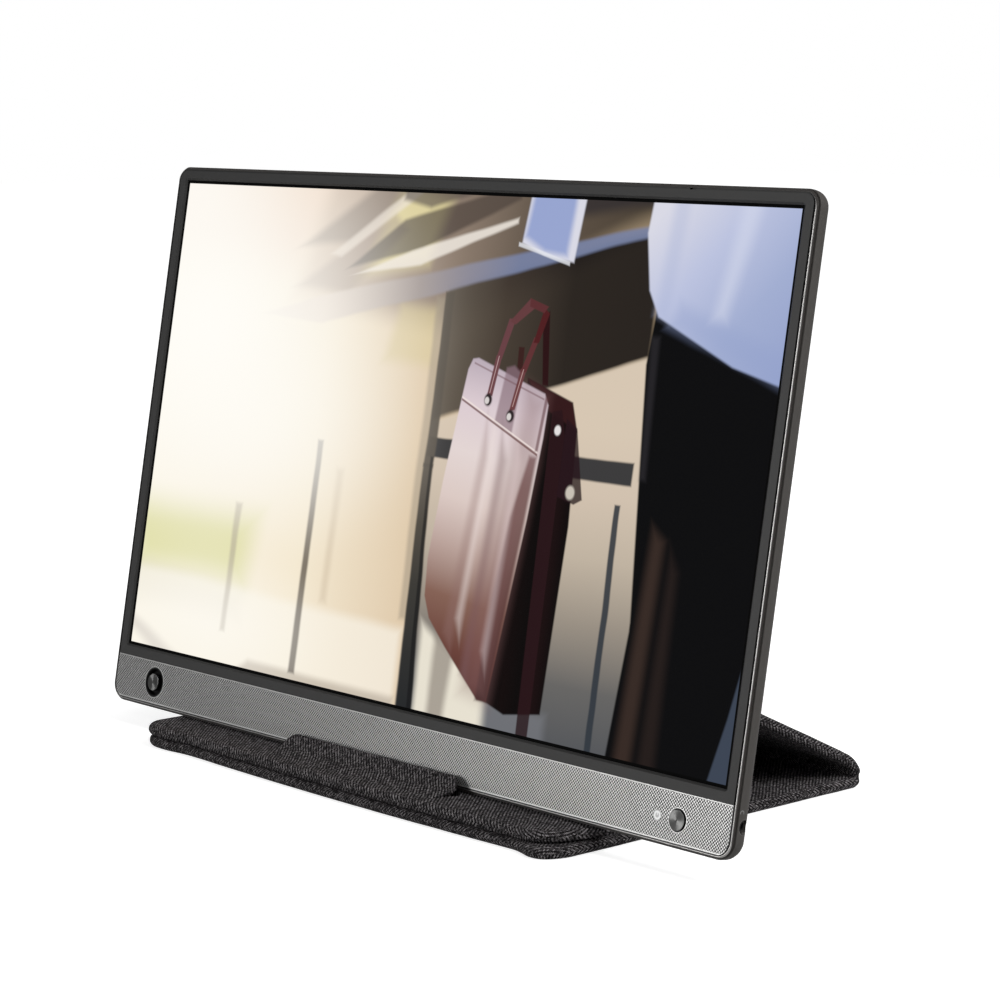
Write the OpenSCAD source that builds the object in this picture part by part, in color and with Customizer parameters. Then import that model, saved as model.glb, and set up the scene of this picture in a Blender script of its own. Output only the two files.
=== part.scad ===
// Portable monitor standing in its folding fabric cover.
// X runs to the right of the screen, Y to its back, Z up.
// The origin is on the table, in the middle of the footprint.

/* [Monitor] */
// Width of the monitor over its side walls
mon_w = 359.7; // [358:0.1:366]
// Height of the monitor from its bottom edge to its top edge
mon_h = 225.4; // [225:0.1:230]
// Thickness from the front of the bezel to the back
mon_t = 8.5; // [8.5:0.1:9.5]
// Height of the lit area's centre above the bottom edge
screen_rise = 121.8; // [121.8:0.1:123]
// Lean of the screen back from upright, in degrees
tilt = 10.1; // [8:0.1:13]
// Radius of the two top corners of the outline
top_r = 6; // [5.5:0.1:7]
// Radius of the two bottom corners of the outline
bottom_r = 7.2; // [6.5:0.1:8]
// Radius of the rear edge, all round
rear_r = 5.5; // [5:0.1:5.7]

/* [Screen] */
// Width of the lit area
active_w = 344.2; // [340:0.1:345]
// Height of the lit area
active_h = 193.6; // [190:0.1:194]
// Height of the bezel's front face above the glass
bezel_proud = 1; // [0.8:0.1:1.2]
// Black border between the lit area and the bezel's edge
mask = 1.2; // [1:0.1:1.4]

/* [Chin] */
// Distance of the chin's upper edge below the screen's centre
chin_drop = 102.6; // [102.4:0.1:103.4]
// Distance of the control stick from the monitor's middle
stick_x = 151; // [150:0.5:156]
// Distance of the power button from the monitor's middle
button_x = 153.4; // [150:0.1:154]
// Distance of the status light from the monitor's middle
light_x = 143.7; // [138:0.1:144]
// Distance of the control stick below the screen's centre
stick_drop = 111.2; // [110.5:0.1:112]
// Distance of the power button and its light below the screen's centre
button_drop = 112.1; // [111.5:0.1:112.5]

/* [Cover] */
// Width of the folded cover
cover_w = 247; // [235:1:260]
// Depth of the cover on the table, from front edge to rear fold
cover_len = 162.5; // [156:0.1:166]
// Thickness of each padded panel
panel_t = 4.4; // [4:0.1:4.8]
// How far the cover sits to the left of the monitor's middle
cover_shift = 10.7; // [0:0.1:14]
// Slope of the riser above the table, in degrees
riser_slope = 25.1; // [23:0.1:26]
// Outer radius of the rear fold
nose_r = 6.7; // [6.5:0.1:8]
// Outer radius of the fold behind the monitor
fold_r = 5.2; // [4.9:0.1:6]
// Radius of the base panel's left corner
base_corner_left = 11.5; // [8:0.5:18]
// Radius of the base panel's right corner
base_corner_right = 15; // [8:0.5:18]
// Left corner radius of the lip that the monitor stands on
lip_corner_left = 10.5; // [8:0.5:23]
// Right corner radius of the lip that the monitor stands on
lip_corner_right = 22.5; // [8:0.5:23]

/* [Stopper] */
// Half the width of the stopper at its hinge
stopper_half = 47; // [40:1:50]
// How much wider it is on each side at its free end
stopper_flare = 4; // [2:0.5:5]
// Length of its first leaf, next to the hinge
root_len = 8; // [7.5:0.1:8.2]
// Length of its second leaf, which leans on the chin
tip_len = 6.8; // [6:0.1:7]
// Thickness of both leaves
leaf_t = 1.9; // [1.6:0.1:2]
// Slope of the first leaf, in degrees
root_slope = 14; // [12:1:15]
// Slope of the second leaf, in degrees
tip_slope = 48; // [48:1:53]
// How far the stopper's middle is to the left of the monitor's middle
stopper_shift = 4.6; // [0:0.1:6]

/* [Hidden] */
$fn = 48;
eps = 0.01;

// Monitor, in its own frame: x right, y up the screen, z out of the front, 0 at the glass.
half_w = mon_w / 2;
top_y = mon_h - screen_rise;
bottom_y = -screen_rise;
back_z = bezel_proud - mon_t;
wall = 1.2;
floor_z = back_z + wall;
rim_z = -0.2;
ledge_z = -1.6;
rim_t = 0.9;
trim_in = 1.25;
trim_mid = 0.95;
trim_out = 0.5;
trim_lip = 0.25;
trim_bevel = 0.55;
frame_in = 3.6;
frame_out = 1.35;
frame_back = -2.8;
plate_in = 2.15;
plate_back = -0.3;
chin_foot = 1.3;
glass_gap = 0.1;
view_x = active_w / 2 + mask;
view_y = active_h / 2 + mask;
view_r = 0.5;
view_bevel = 0.8;
glass_t = 0.9;
guide_t = 1.2;
tray_t = 0.6;
tray_x = view_x + 1.9;
tray_y = view_y + 2;
glass_x = tray_x - 0.4;
glass_y = tray_y - 0.4;
tray_back = -glass_t - guide_t - 0.15 - tray_t;
board_t = 0.8;
board_front = floor_z + 0.3 + board_t;
board_back = board_front - board_t;
notch_x = 121.5;

// Ports
jack_y = -109.6;
jack_z = -3.9;
jack_r = 1.75;
jack_open_r = 2.5;
jack_mouth = half_w - 2.85;
jack_foot = 164.2;
usb_y = -70;
usb_w = 8.94;
hdmi_y = -52;
hdmi_w = 11.2;
port_z = floor_z + 1.75;
port_x = 2.25 - half_w;
port_len = 10;

// Controls
stick_y = -stick_drop;
button_y = -button_drop;
well_r = 5.8;
well_in = 5.2;
cap_r = 3.7;
pivot_z = -3.3;
button_r = 3.75;
button_fit = 0.08;
light_r = 1.8;

// Cover, seen from the side: [distance back, height]. Each skin is half a panel thick.
layer_gap = 0.1;
half_gap = 0.2;
seat_gap = 0.12;
half_t = panel_t / 2;
lip_top = 2 * panel_t + layer_gap;
bend_in = 1.2;
cover_board_t = 1.2;
board_inset = 9;
front_len = 24;
front_y = -cover_len / 2;
screen_setback = 39.65;

// The monitor's lower rear edge rests just above the lip.
screen_z = lip_top + seat_gap + rear_r + (screen_rise - rear_r) * cos(tilt)
    - (back_z + rear_r) * sin(tilt);

function toward(a) = [cos(a), sin(a)];
function cross2(a, b) = a.x * b.y - a.y * b.x;
// Where the line through p along d crosses the line through q along e
function meet(p, d, q, e) = p + d * cross2(q - p, e) / cross2(d, e);
// A point of the monitor's middle plane, seen from the side
function seen(y, z) =
    [y * sin(tilt) - z * cos(tilt) - screen_setback, screen_z + y * cos(tilt) + z * sin(tilt)];

riser_dir = 180 - riser_slope;
back_dir = 270 - tilt;
nose_c = [cover_len / 2 - nose_r, nose_r];
nose_end = nose_c + nose_r * toward(riser_dir - 90);
apex = meet(nose_end, toward(riser_dir), seen(0, back_z - seat_gap), toward(back_dir));
fold_half = (back_dir - riser_dir) / 2;
fold_c = apex + fold_r / cos(fold_half) * toward(riser_dir + 90 + fold_half);
lip_c = meet(seen(0, back_z - seat_gap + bend_in), toward(back_dir), [0, lip_top + bend_in], [1, 0]);
nose_mid = (riser_dir - 180) / 2;
fold_mid = (riser_dir + back_dir) / 2 - 90;
lip_mid = (back_dir - 360) / 2;
nose_rho = nose_r - half_t;
fold_rho = fold_r - half_t;
lip_rho = bend_in + half_t;
riser_start = nose_c + nose_rho * toward(riser_dir - 90);
riser_len = norm(fold_c + fold_rho * toward(riser_dir - 90) - riser_start);
back_start = fold_c + fold_rho * toward(back_dir - 90);
back_len = norm(lip_c + lip_rho * toward(back_dir + 90) - back_start);
lip_start = lip_c + [0, -lip_rho];
stopper_in = 6.1;
stopper_y = front_y + stopper_in;
stopper_corner = 6.5;

// ---------- Cover: shared shapes ----------

// Turns a side view drawing, x back and y up, so that its third axis is the width.
module side_view() {
    translate([-cover_shift, 0, 0]) rotate([90, 0, 90]) children();
}

// Quarter of a disc, in the quadrant of signs sx and sy
module quarter(r, sx, sy) {
    intersection() {
        circle(r = r);
        translate([min(0, sx * r), min(0, sy * r)]) square(r);
    }
}

// Cross-section of one skin: a strip with a quarter-round edge, on side k of the middle.
// Side 1 is to the left of the way a panel runs, side -1 to the right.
module skin_section(k) {
    flat_w = cover_w / 2 - half_t;
    translate([-flat_w, min(0, k * half_t)]) square([2 * flat_w, half_t]);
    for (s = [-1, 1]) translate([s * flat_w, 0]) quarter(half_t, s, k);
}

// A panel runs from p towards angle a; what follows is drawn along x.
module from(p, a) {
    side_view() translate([p.x, p.y, 0]) rotate(a) children();
}

module straight(k, length) {
    rotate([0, 90, 0]) linear_extrude(length) skin_section(k);
}

// Both skins round half a fold, which turns left for turn = 1 and right for turn = -1.
// It stops just short of the other half, half_gap degrees before the middle.
module bend(rho, angle, turn) {
    translate([0, turn * rho, 0]) rotate(-90 * turn) for (k = [-1, 1])
        rotate_extrude(angle = turn * (angle - half_gap))
            translate([rho, 0]) rotate(90 * turn) skin_section(k);
}

// Half of a panel's free end with its round corner, towards y for s = 1, away from it for s = -1
module free_side(k, length, corner, s) {
    flat_w = cover_w / 2 - half_t;
    side_y = cover_w / 2 - corner;
    translate([0, 0, min(0, k * half_t)]) linear_extrude(half_t) {
        translate([0, min(0, s * flat_w)]) square([length - corner, flat_w]);
        translate([0, min(0, s * side_y)]) square([length - half_t, side_y]);
        translate([length - corner, s * side_y]) quarter(corner - half_t, 1, s);
    }
    translate([0, s * flat_w, 0]) rotate([90, 0, 90])
        linear_extrude(length - corner) quarter(half_t, s, k);
    translate([length - corner, s * side_y, 0]) rotate(45 * s - 45)
        rotate_extrude(angle = 90) translate([corner - half_t, 0]) quarter(half_t, 1, k);
    translate([length - half_t, max(0, s * side_y), 0]) rotate([90, 0, 0])
        linear_extrude(side_y) quarter(half_t, 1, k);
}

// The free end of a panel, with a round corner at its left and one at its right
module free_end(k, length, left, right) {
    rotate([-90, 0, 0]) {
        free_side(k, length, left, 1);
        free_side(k, length, right, -1);
    }
}

// The stiffener of a panel, in a pocket of the inner skin
module stiffener(length, grow = 0) {
    width = cover_w - 2 * board_inset + 2 * grow;
    translate([board_inset - grow, 0, -width / 2])
        cube([length - 2 * board_inset + 2 * grow, cover_board_t + grow, width]);
}

// ---------- Cover: base panel, flat on the table ----------

base_len = nose_c.x - front_y;

module base_path() {
    from([nose_c.x, half_t], 180) children();
}

module base_skin(k) {
    straight(k, base_len - front_len);
    translate([base_len - front_len, 0, 0]) free_end(k, front_len, base_corner_left, base_corner_right);
}

module base_outer_skin() {
    color("#3b393b") base_path() {
        base_skin(1);
        rotate(180) bend(nose_rho, 90 + nose_mid, 1);
    }
}

module base_inner_skin() {
    color("#343234") base_path() difference() {
        base_skin(-1);
        mirror([0, 1, 0]) stiffener(base_len, 0.05);
    }
}

module base_board() {
    color("#b9b2a0") base_path() mirror([0, 1, 0]) stiffener(base_len);
}

// ---------- Cover: riser, from the rear fold up to the monitor's back ----------

nose_turn = riser_dir - 90 - nose_mid;

module riser_path() {
    from(riser_start, riser_dir) children();
}

module riser_outer_skin() {
    color("#3b393b") riser_path() {
        straight(-1, riser_len);
        rotate(180) bend(nose_rho, nose_turn, -1);
        translate([riser_len, 0, 0]) bend(fold_rho, fold_half, 1);
    }
}

module riser_inner_skin() {
    color("#343234") riser_path() difference() {
        straight(1, riser_len);
        stiffener(riser_len, 0.05);
    }
}

module riser_board() {
    color("#b9b2a0") riser_path() stiffener(riser_len);
}

// ---------- Cover: back panel, held to the monitor's back by magnets ----------

lip_turn = (back_dir - 180) / 2;

module back_path() {
    from(back_start, back_dir) children();
}

module back_outer_skin() {
    color("#3b393b") back_path() {
        straight(-1, back_len);
        rotate(180) bend(fold_rho, fold_half, -1);
        translate([back_len, 0, 0]) bend(lip_rho, lip_turn, -1);
    }
}

module back_inner_skin() {
    color("#343234") back_path() difference() {
        straight(1, back_len);
        stiffener(back_len, 0.05);
    }
}

// Places of the discs that hold the panel to the monitor, from the monitor's middle
magnet_xs = [-100, -40, 20, 80];
magnet_r = 6;

module at_back_magnets() {
    back_path() for (x = magnet_xs)
        translate([back_len / 2, 0, x + cover_shift]) rotate([-90, 0, 0]) children();
}

module back_board() {
    color("#b9b2a0") difference() {
        back_path() stiffener(back_len);
        at_back_magnets() cylinder(r = magnet_r + 0.1, h = 10, center = true);
    }
}

module cover_magnets() {
    color("silver") at_back_magnets() cylinder(r = magnet_r, h = cover_board_t);
}

// ---------- Cover: lip under the monitor's lower edge ----------

lip_len = lip_start.x - front_y;

module lip_path() {
    from(lip_start, 180) children();
}

module lip_skin(k) {
    straight(k, lip_len - front_len);
    translate([lip_len - front_len, 0, 0]) free_end(k, front_len, lip_corner_left, lip_corner_right);
}

// Outline of the stopper folded flat: x along its length from the hinge, y across
module stopper_outline(grow = 0) {
    length = root_len + tip_len + grow;
    wide = stopper_half + stopper_flare + grow;
    side_y = wide - stopper_corner;
    intersection() {
        polygon([
            [0, -stopper_half - grow], [length, -wide], [length, wide], [0, stopper_half + grow]
        ]);
        union() {
            translate([-1, -wide]) square([length - stopper_corner + 1, 2 * wide]);
            translate([-1, -side_y]) square([length + 1, 2 * side_y]);
            for (s = [-1, 1]) translate([length - stopper_corner, s * side_y])
                circle(r = stopper_corner);
        }
    }
}

// Puts a flat outline on the stopper's hinge line, x towards the back
module at_stopper_hinge() {
    translate([-stopper_shift, stopper_y, lip_top]) rotate(90) children();
}

module lip_outer_skin() {
    color("#3b393b") difference() {
        lip_path() {
            lip_skin(-1);
            rotate(180) bend(lip_rho, lip_turn, 1);
        }
        at_stopper_hinge() translate([0, 0, -half_t]) linear_extrude(panel_t) stopper_outline(0.4);
    }
}

module lip_inner_skin() {
    color("#343234") lip_path() difference() {
        lip_skin(1);
        translate([-5, 0, 0]) stiffener(lip_len + 5, 0.05);
    }
}

module lip_board() {
    color("#b9b2a0") lip_path() translate([-5, 0, 0]) stiffener(lip_len + 5);
}

// ---------- Cover: stopper, two leaves cut out of the lip and folded up ----------

module leaf(x0, x1) {
    translate([0, 0, -leaf_t]) linear_extrude(leaf_t) intersection() {
        stopper_outline();
        translate([x0, -cover_w / 2]) square([x1 - x0, cover_w]);
    }
}

module stopper_root() {
    color("#3b393b") at_stopper_hinge() rotate([0, -root_slope, 0]) leaf(0, root_len);
}

module stopper_tip() {
    color("#3b393b") at_stopper_hinge() rotate([0, -root_slope, 0]) translate([root_len, 0, 0])
        rotate([0, root_slope - tip_slope, 0]) translate([-root_len, 0, 0])
            leaf(root_len, root_len + tip_len);
}

// ---------- Monitor: shared shapes ----------

module in_monitor() {
    translate([0, -screen_setback, screen_z]) rotate([90 - tilt, 0, 0]) children();
}

// Outline of the monitor, inset by u
module outline(u) {
    x = half_w - u;
    rt = top_r - u;
    rb = bottom_r - u;
    polygon([
        [-x, bottom_y + bottom_r], [rb - x, bottom_y + u], [x - rb, bottom_y + u],
        [x, bottom_y + bottom_r], [x, top_y - top_r], [x - rt, top_y - u],
        [rt - x, top_y - u], [-x, top_y - top_r]
    ]);
    for (s = [-1, 1]) {
        translate([s * (half_w - top_r), top_y - top_r]) circle(r = rt);
        translate([s * (half_w - bottom_r), bottom_y + bottom_r]) circle(r = rb);
    }
}

// Runs a profile along one straight side: angle a, distance d out, from b0 to b1 along it
module along(a, d, b0, b1) {
    rotate(a) translate([d, b1, 0]) rotate([90, 0, 0]) linear_extrude(b1 - b0) children();
}

// Runs a profile round a rectangle with rounded corners; its x = 0 lies on the outline.
module round_edge(hw, y1, y0, rt, rb) {
    along(0, hw, y0 + rb, y1 - rt) children();
    along(180, hw, rt - y1, -y0 - rb) children();
    along(90, y1, rt - hw, hw - rt) children();
    along(270, -y0, rb - hw, hw - rb) children();
    for (s = [0, 1]) {
        translate([(1 - 2 * s) * (hw - rt), y1 - rt, 0]) rotate(90 * s)
            rotate_extrude(angle = 90) translate([rt, 0]) children();
        translate([(2 * s - 1) * (hw - rb), y0 + rb, 0]) rotate(180 + 90 * s)
            rotate_extrude(angle = 90) translate([rb, 0]) children();
    }
}

module round_monitor() {
    round_edge(half_w, top_y, bottom_y, top_r, bottom_r) children();
}

module block(x0, y0, z0, x1, y1, z1) {
    translate([x0, y0, z0]) cube([x1 - x0, y1 - y0, z1 - z0]);
}

module rod(x, y, z0, z1, r) {
    translate([x, y, z0]) cylinder(r = r, h = z1 - z0);
}

// ---------- Monitor: housing ----------

// Wall of the rear shell with its rounded rear edge and the ledge for the trim ring
module wall_profile() {
    translate([-wall, back_z + rear_r]) square([wall, ledge_z - back_z - rear_r]);
    translate([-rim_t, ledge_z]) square([rim_t, rim_z - ledge_z]);
    translate([-rear_r, back_z + rear_r]) intersection() {
        difference() {
            circle(r = rear_r);
            circle(r = rear_r - wall);
        }
        translate([0, -rear_r]) square(rear_r);
    }
}

module port_outline(w, h) {
    square([h, w - h], center = true);
    for (s = [-1, 1]) translate([0, s * (w - h) / 2]) circle(d = h);
}

board_posts = [[-163, -34], [-163, 14], [-70, 14], [-70, -80]];
side_posts = [[137, -106], [169, -115.2]];
stick_posts = [[-166, -107], [-143.5, -115]];
magnet_y = -93.6;

module rear_shell() {
    color("#4a4a4c") in_monitor() difference() {
        union() {
            round_monitor() wall_profile();
            translate([0, 0, back_z]) linear_extrude(wall) outline(rear_r);
            // ribs that carry the screen's tray
            for (x = [-40, 20, 80, 140]) block(x - 0.6, -84, floor_z - eps, x + 0.6, 92, tray_back);
            for (y = [25, 75]) block(-165, y - 0.6, floor_z - eps, 165, y + 0.6, tray_back);
            for (p = concat(board_posts, side_posts, stick_posts))
                rod(p.x, p.y, floor_z - eps, board_back, 2);
            for (x = magnet_xs) translate([x, magnet_y, floor_z - eps]) difference() {
                cylinder(r = magnet_r + 1, h = 1.6);
                cylinder(r = magnet_r, h = 4, center = true);
            }
        }
        for (p = concat(board_posts, side_posts, stick_posts))
            rod(p.x, p.y, floor_z - 0.6, board_back + eps, 0.7);
        // openings for the two sockets in the left wall
        translate([-half_w, usb_y, port_z]) rotate([0, 90, 0])
            linear_extrude(8, center = true) port_outline(usb_w + 0.4, 3.5);
        translate([-half_w, hdmi_y, port_z]) rotate([0, 90, 0])
            linear_extrude(8, center = true) square([3.2, hdmi_w + 0.4], center = true);
        // opening for the audio jack in the right wall
        translate([half_w - 6, jack_y, jack_z]) rotate([0, 90, 0]) cylinder(r = jack_open_r, h = 12);
    }
}

module middle_frame() {
    color("#151516") in_monitor() difference() {
        round_monitor() {
            translate([-frame_in, frame_back]) square([frame_in - frame_out, plate_back - frame_back]);
            translate([-plate_in + 0.1, plate_back - eps])
                square([plate_in - 0.1 - frame_out, 0.3 - plate_back]);
        }
        // the plates reach further up and down than the frame's lip
        translate([0, 0, plate_back]) linear_extrude(1) plates_outline();
        translate([half_w, jack_y, jack_z]) rotate([0, 90, 0])
            cylinder(r = jack_open_r + 0.2, h = 12, center = true);
    }
}

// Polished ring whose bevelled lip hangs over a narrow groove above the rear shell
module trim_ring() {
    color("#d9d9da") in_monitor() round_monitor() polygon([
        [-trim_in, ledge_z], [-trim_mid, ledge_z], [-trim_mid, trim_lip], [-trim_out, trim_lip],
        [-trim_out, bezel_proud - trim_bevel], [-trim_out - trim_bevel, bezel_proud],
        [-trim_in, bezel_proud]
    ]);
}

// Outline of the two front plates together
module plates_outline() {
    x = half_w - plate_in;
    rt = top_r - plate_in;
    rb = bottom_r - chin_foot;
    foot = bottom_y + chin_foot;
    polygon([
        [-x, foot + rb], [rb - x, foot], [x - rb, foot], [x, foot + rb],
        [x, top_y - chin_foot - rt], [x - rt, top_y - chin_foot],
        [rt - x, top_y - chin_foot], [-x, top_y - chin_foot - rt]
    ]);
    for (s = [-1, 1]) {
        translate([s * (x - rt), top_y - chin_foot - rt]) circle(r = rt);
        translate([s * (x - rb), foot + rb]) circle(r = rb);
    }
}

module front_bezel() {
    color("#2f2f30") in_monitor() difference() {
        translate([0, 0, plate_back]) linear_extrude(bezel_proud - plate_back) intersection() {
            plates_outline();
            translate([-half_w, 0.05 - chin_drop]) square([mon_w, mon_h]);
        }
        block(-view_x, -view_y, -2, view_x, view_y, 2);
        // recess for the edge of the glass
        block(-glass_x - glass_gap, -glass_y - glass_gap, -2, glass_x + glass_gap, glass_y + glass_gap, 0);
        // bevel round the opening
        translate([0, 0, bezel_proud]) round_edge(view_x, view_y, -view_y, view_r, view_r)
            polygon([[-view_r, eps], [-view_r, -0.6], [0, -0.6], [view_bevel, 0], [view_bevel, eps]]);
        // small notch in the upper edge
        block(notch_x - 1.5, top_y - 1.9, 0.2, notch_x + 1.5, top_y, 2);
    }
}

module chin_plate() {
    color("#a6a8a9") in_monitor() difference() {
        translate([0, 0, plate_back]) linear_extrude(bezel_proud - plate_back) intersection() {
            plates_outline();
            translate([-half_w, -mon_h]) square([mon_w, mon_h - chin_drop]);
        }
        rod(-stick_x, stick_y, -2, 2, well_r);
        rod(button_x, button_y, -2, 2, button_r + button_fit);
        rod(light_x, button_y, -2, 2, light_r + 0.02);
    }
}

// ---------- Monitor: screen ----------

module lcd_glass() {
    color("#e9e4da") in_monitor() block(-glass_x, -glass_y, -glass_t, glass_x, glass_y, 0);
}

guide_back = -glass_t - 0.15 - guide_t;
strip_y = 2.2 - tray_y;

module light_guide() {
    color("white") in_monitor()
        block(0.8 - tray_x, strip_y, guide_back, tray_x - 0.8, tray_y - 0.8, guide_back + guide_t);
}

module reflector_tray() {
    color("#c9ccce") in_monitor() difference() {
        block(-tray_x, -tray_y, tray_back, tray_x, tray_y, -glass_t - 0.15);
        block(0.4 - tray_x, 0.4 - tray_y, guide_back - eps, tray_x - 0.4, tray_y - 0.4, 1);
    }
}

module backlight_strip() {
    color("#f3efc8") in_monitor() {
        block(4 - tray_x, 0.5 - tray_y, guide_back, tray_x - 4, 1 - tray_y, guide_back + guide_t);
        for (i = [-15:15]) translate([i * 11, 1 - tray_y - eps, guide_back + 0.2]) cube([3, 0.9, 0.8]);
    }
}

// Driver board behind the chin, below the glass
timing_front = -2.4;

module timing_board() {
    color("#1e5a3a") in_monitor() {
        block(-95, -112, timing_front - board_t, 60, -101.4, timing_front);
        for (x = [-80, -45, -10, 25]) block(x, -109, timing_front - eps, x + 12, -104, timing_front + 0.9);
    }
}

// Film strips from the glass down to the driver board
module panel_flex() {
    color("#b5772e") in_monitor() for (x = [-84, -52, -20, 12]) {
        block(x, -100.6, -glass_t - 0.12, x + 26, 0.4 - tray_y + 2, -glass_t - 0.02);
        block(x, -100.6, timing_front, x + 26, -100.5, -glass_t - 0.02);
        block(x, -103, timing_front, x + 26, -100.5, timing_front + 0.1);
    }
}

// Flat cable from the main board, behind the tray, to the driver board
module panel_cable() {
    color("#d8d5cc") in_monitor() {
        block(-92, -101, board_front, -72, -57, board_front + 0.15);
        block(-92, -101, board_front, -72, -100.85, timing_front - board_t);
        block(-92, -108, timing_front - board_t - 0.15, -72, -100.85, timing_front - board_t);
    }
}

// ---------- Monitor: electronics ----------

module main_board() {
    color("#1e5a3a") in_monitor() {
        difference() {
            block(-171, -84, board_back, -62, 20, board_front);
            for (p = [[usb_y, usb_w], [hdmi_y, hdmi_w]]) translate([-171, p[0], board_back])
                cube([2 * (port_len - 6.4), p[1] + 0.6, 4], center = true);
            for (p = board_posts) rod(p.x, p.y, -9, 0, 1);
        }
        for (p = [[-152, -30, 9, 9], [-116, -80, 14, 12], [-92, -57, 20, 4], [-150, -12, 12, 8]])
            translate([p[0], p[1], board_front - eps]) cube([p[2], p[3], 1.2]);
    }
}

module shield_can() {
    color("#bfc3c6") in_monitor() difference() {
        block(-130, -46, board_front, -90, -12, board_front + 2);
        block(-129.8, -45.8, board_front - 1, -90.2, -12.2, board_front + 1.8);
    }
}

// Two tabs that carry a socket on the board
module socket_tabs(w) {
    translate([7.6, -w / 2 - 1.2, board_front - port_z]) cube([1.8, w + 2.4, 0.25]);
}

module usb_c_socket() {
    color("#c4c7ca") in_monitor() translate([port_x, usb_y, port_z]) {
        difference() {
            rotate([0, 90, 0]) linear_extrude(port_len) port_outline(usb_w, 3.2);
            translate([-1, 0, 0]) rotate([0, 90, 0]) linear_extrude(port_len - 2)
                port_outline(usb_w - 0.6, 2.6);
        }
        translate([1.2, -3.3, -0.35]) cube([port_len - 2, 6.6, 0.7]);
        socket_tabs(usb_w);
    }
}

module hdmi_socket() {
    color("#c4c7ca") in_monitor() translate([port_x, hdmi_y, port_z]) {
        difference() {
            translate([0, -hdmi_w / 2, -1.4]) cube([port_len, hdmi_w, 2.8]);
            translate([-1, 0.3 - hdmi_w / 2, -1.1]) cube([port_len - 2, hdmi_w - 0.6, 2.2]);
        }
        translate([1.2, -4, -0.3]) cube([port_len - 2, 8, 0.6]);
        socket_tabs(hdmi_w);
    }
}

module board_screws() {
    color("silver") in_monitor() for (p = concat(board_posts, side_posts, stick_posts)) {
        rod(p.x, p.y, floor_z - 0.5, board_front, 0.7);
        rod(p.x, p.y, board_front, board_front + 0.6, 1.5);
    }
}

module speaker(x) {
    in_monitor() translate([x, -110.6, 0]) difference() {
        union() {
            block(-21, -5.6, floor_z, 21, 5.6, -1.8);
            block(-15, -4.8, -1.9, 15, 4.8, -0.9);
        }
        for (s = [-1, 1]) rod(s * 7.5, 0, -1.4, 1, 4.2);
    }
}

module speaker_left() {
    color("#202022") speaker(-118);
}

module speaker_right() {
    color("#202022") speaker(112);
}

module rear_magnets() {
    color("silver") in_monitor() for (x = magnet_xs)
        rod(x, magnet_y, floor_z, floor_z + 1.5, magnet_r);
}

// ---------- Monitor: right side board, audio jack, button and status light ----------

module side_board() {
    color("#1e5a3a") in_monitor() difference() {
        block(134, -117.6, board_back, 173, -103.4, board_front);
        block(162.8, jack_y - 3.2, board_back - 1, 174, jack_y + 3.2, board_front + 1);
        for (p = side_posts) rod(p.x, p.y, -9, 0, 1);
    }
}

module audio_jack() {
    color("#19191a") in_monitor() difference() {
        union() {
            block(163, jack_y - 3, floor_z + 0.05, half_w - 5.4, jack_y + 3, -1.1);
            block(160.5, jack_y - 2, board_front, 163.2, jack_y + 2, board_front + 0.4);
            translate([half_w - 5.6, jack_y, jack_z]) rotate([0, 90, 0])
                cylinder(r = 2.3, h = jack_mouth - half_w + 5.6);
        }
        translate([jack_foot, jack_y, jack_z]) rotate([0, 90, 0]) cylinder(r = jack_r, h = 30);
    }
}

// Bright rim pressed on the jack's barrel
module jack_ring() {
    color("#8a8c8e") in_monitor() translate([jack_mouth, jack_y, jack_z]) rotate([0, 90, 0])
        difference() {
            cylinder(r = 2.3, h = 0.3);
            translate([0, 0, -1]) cylinder(r = 1.95, h = 2);
        }
}

stem_foot = -2.25;
switch_top = stem_foot - 0.4;

module power_switch() {
    color("#c4c7ca") in_monitor() translate([button_x, button_y, board_front]) {
        translate([-3, -3, 0]) cube([6, 6, switch_top - board_front - 0.5]);
        cylinder(r = 1.2, h = switch_top - board_front);
    }
}

// Turned cap with a collar that keeps it in the chin and a stem down to the switch
module power_button() {
    color("#c9c9ca") in_monitor() translate([button_x, button_y, 0]) rotate_extrude() polygon([
        [0, stem_foot], [1.1, stem_foot], [1.1, -1.3], [4.6, -1.3], [4.6, -0.75],
        [button_r, -0.75], [button_r, bezel_proud + 0.15], [button_r - 0.25, bezel_proud + 0.4],
        [0.5, bezel_proud + 0.3], [0.35, bezel_proud + 0.2], [0, bezel_proud + 0.2]
    ]);
}

module status_light() {
    color("white") in_monitor() rod(light_x, button_y, board_front, bezel_proud, light_r);
}

// ---------- Monitor: control stick, tilting two ways and pressing ----------

module stick_board() {
    color("#1e5a3a") in_monitor() difference() {
        block(-170, -117.6, board_back, -140.2, -103.4, board_front);
        for (p = stick_posts) rod(p.x, p.y, -9, 0, 1);
    }
}

module at_stick() {
    in_monitor() translate([-stick_x, stick_y, 0]) children();
}

pin_r = 0.35;
pin_fit = 0.05;
gimbal_r = 2.6;
ball_r = 1.65;
stem_r = 0.85;

// Housing with the gimbal's chamber and the holes for its two pins
module stick_switch() {
    color("#26262a") at_stick() difference() {
        translate([-4.2, -4.2, board_front]) cube([8.4, 8.4, -1.7 - board_front]);
        translate([0, 0, board_front + 0.15]) cylinder(r = 3, h = 5);
        translate([0, 0, pivot_z]) rotate([0, 90, 0])
            cylinder(r = pin_r + pin_fit, h = 7.4, center = true);
    }
}

// Black cup pressed into the chin round the stick
module stick_well() {
    color("#0d0d0e") at_stick() rotate_extrude() polygon([
        [1.9, -1.6], [well_r, -1.6], [well_r, bezel_proud], [well_r - 0.3, bezel_proud],
        [well_in, bezel_proud - 0.4], [well_in, -0.9], [1.9, -0.9]
    ]);
}

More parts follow.
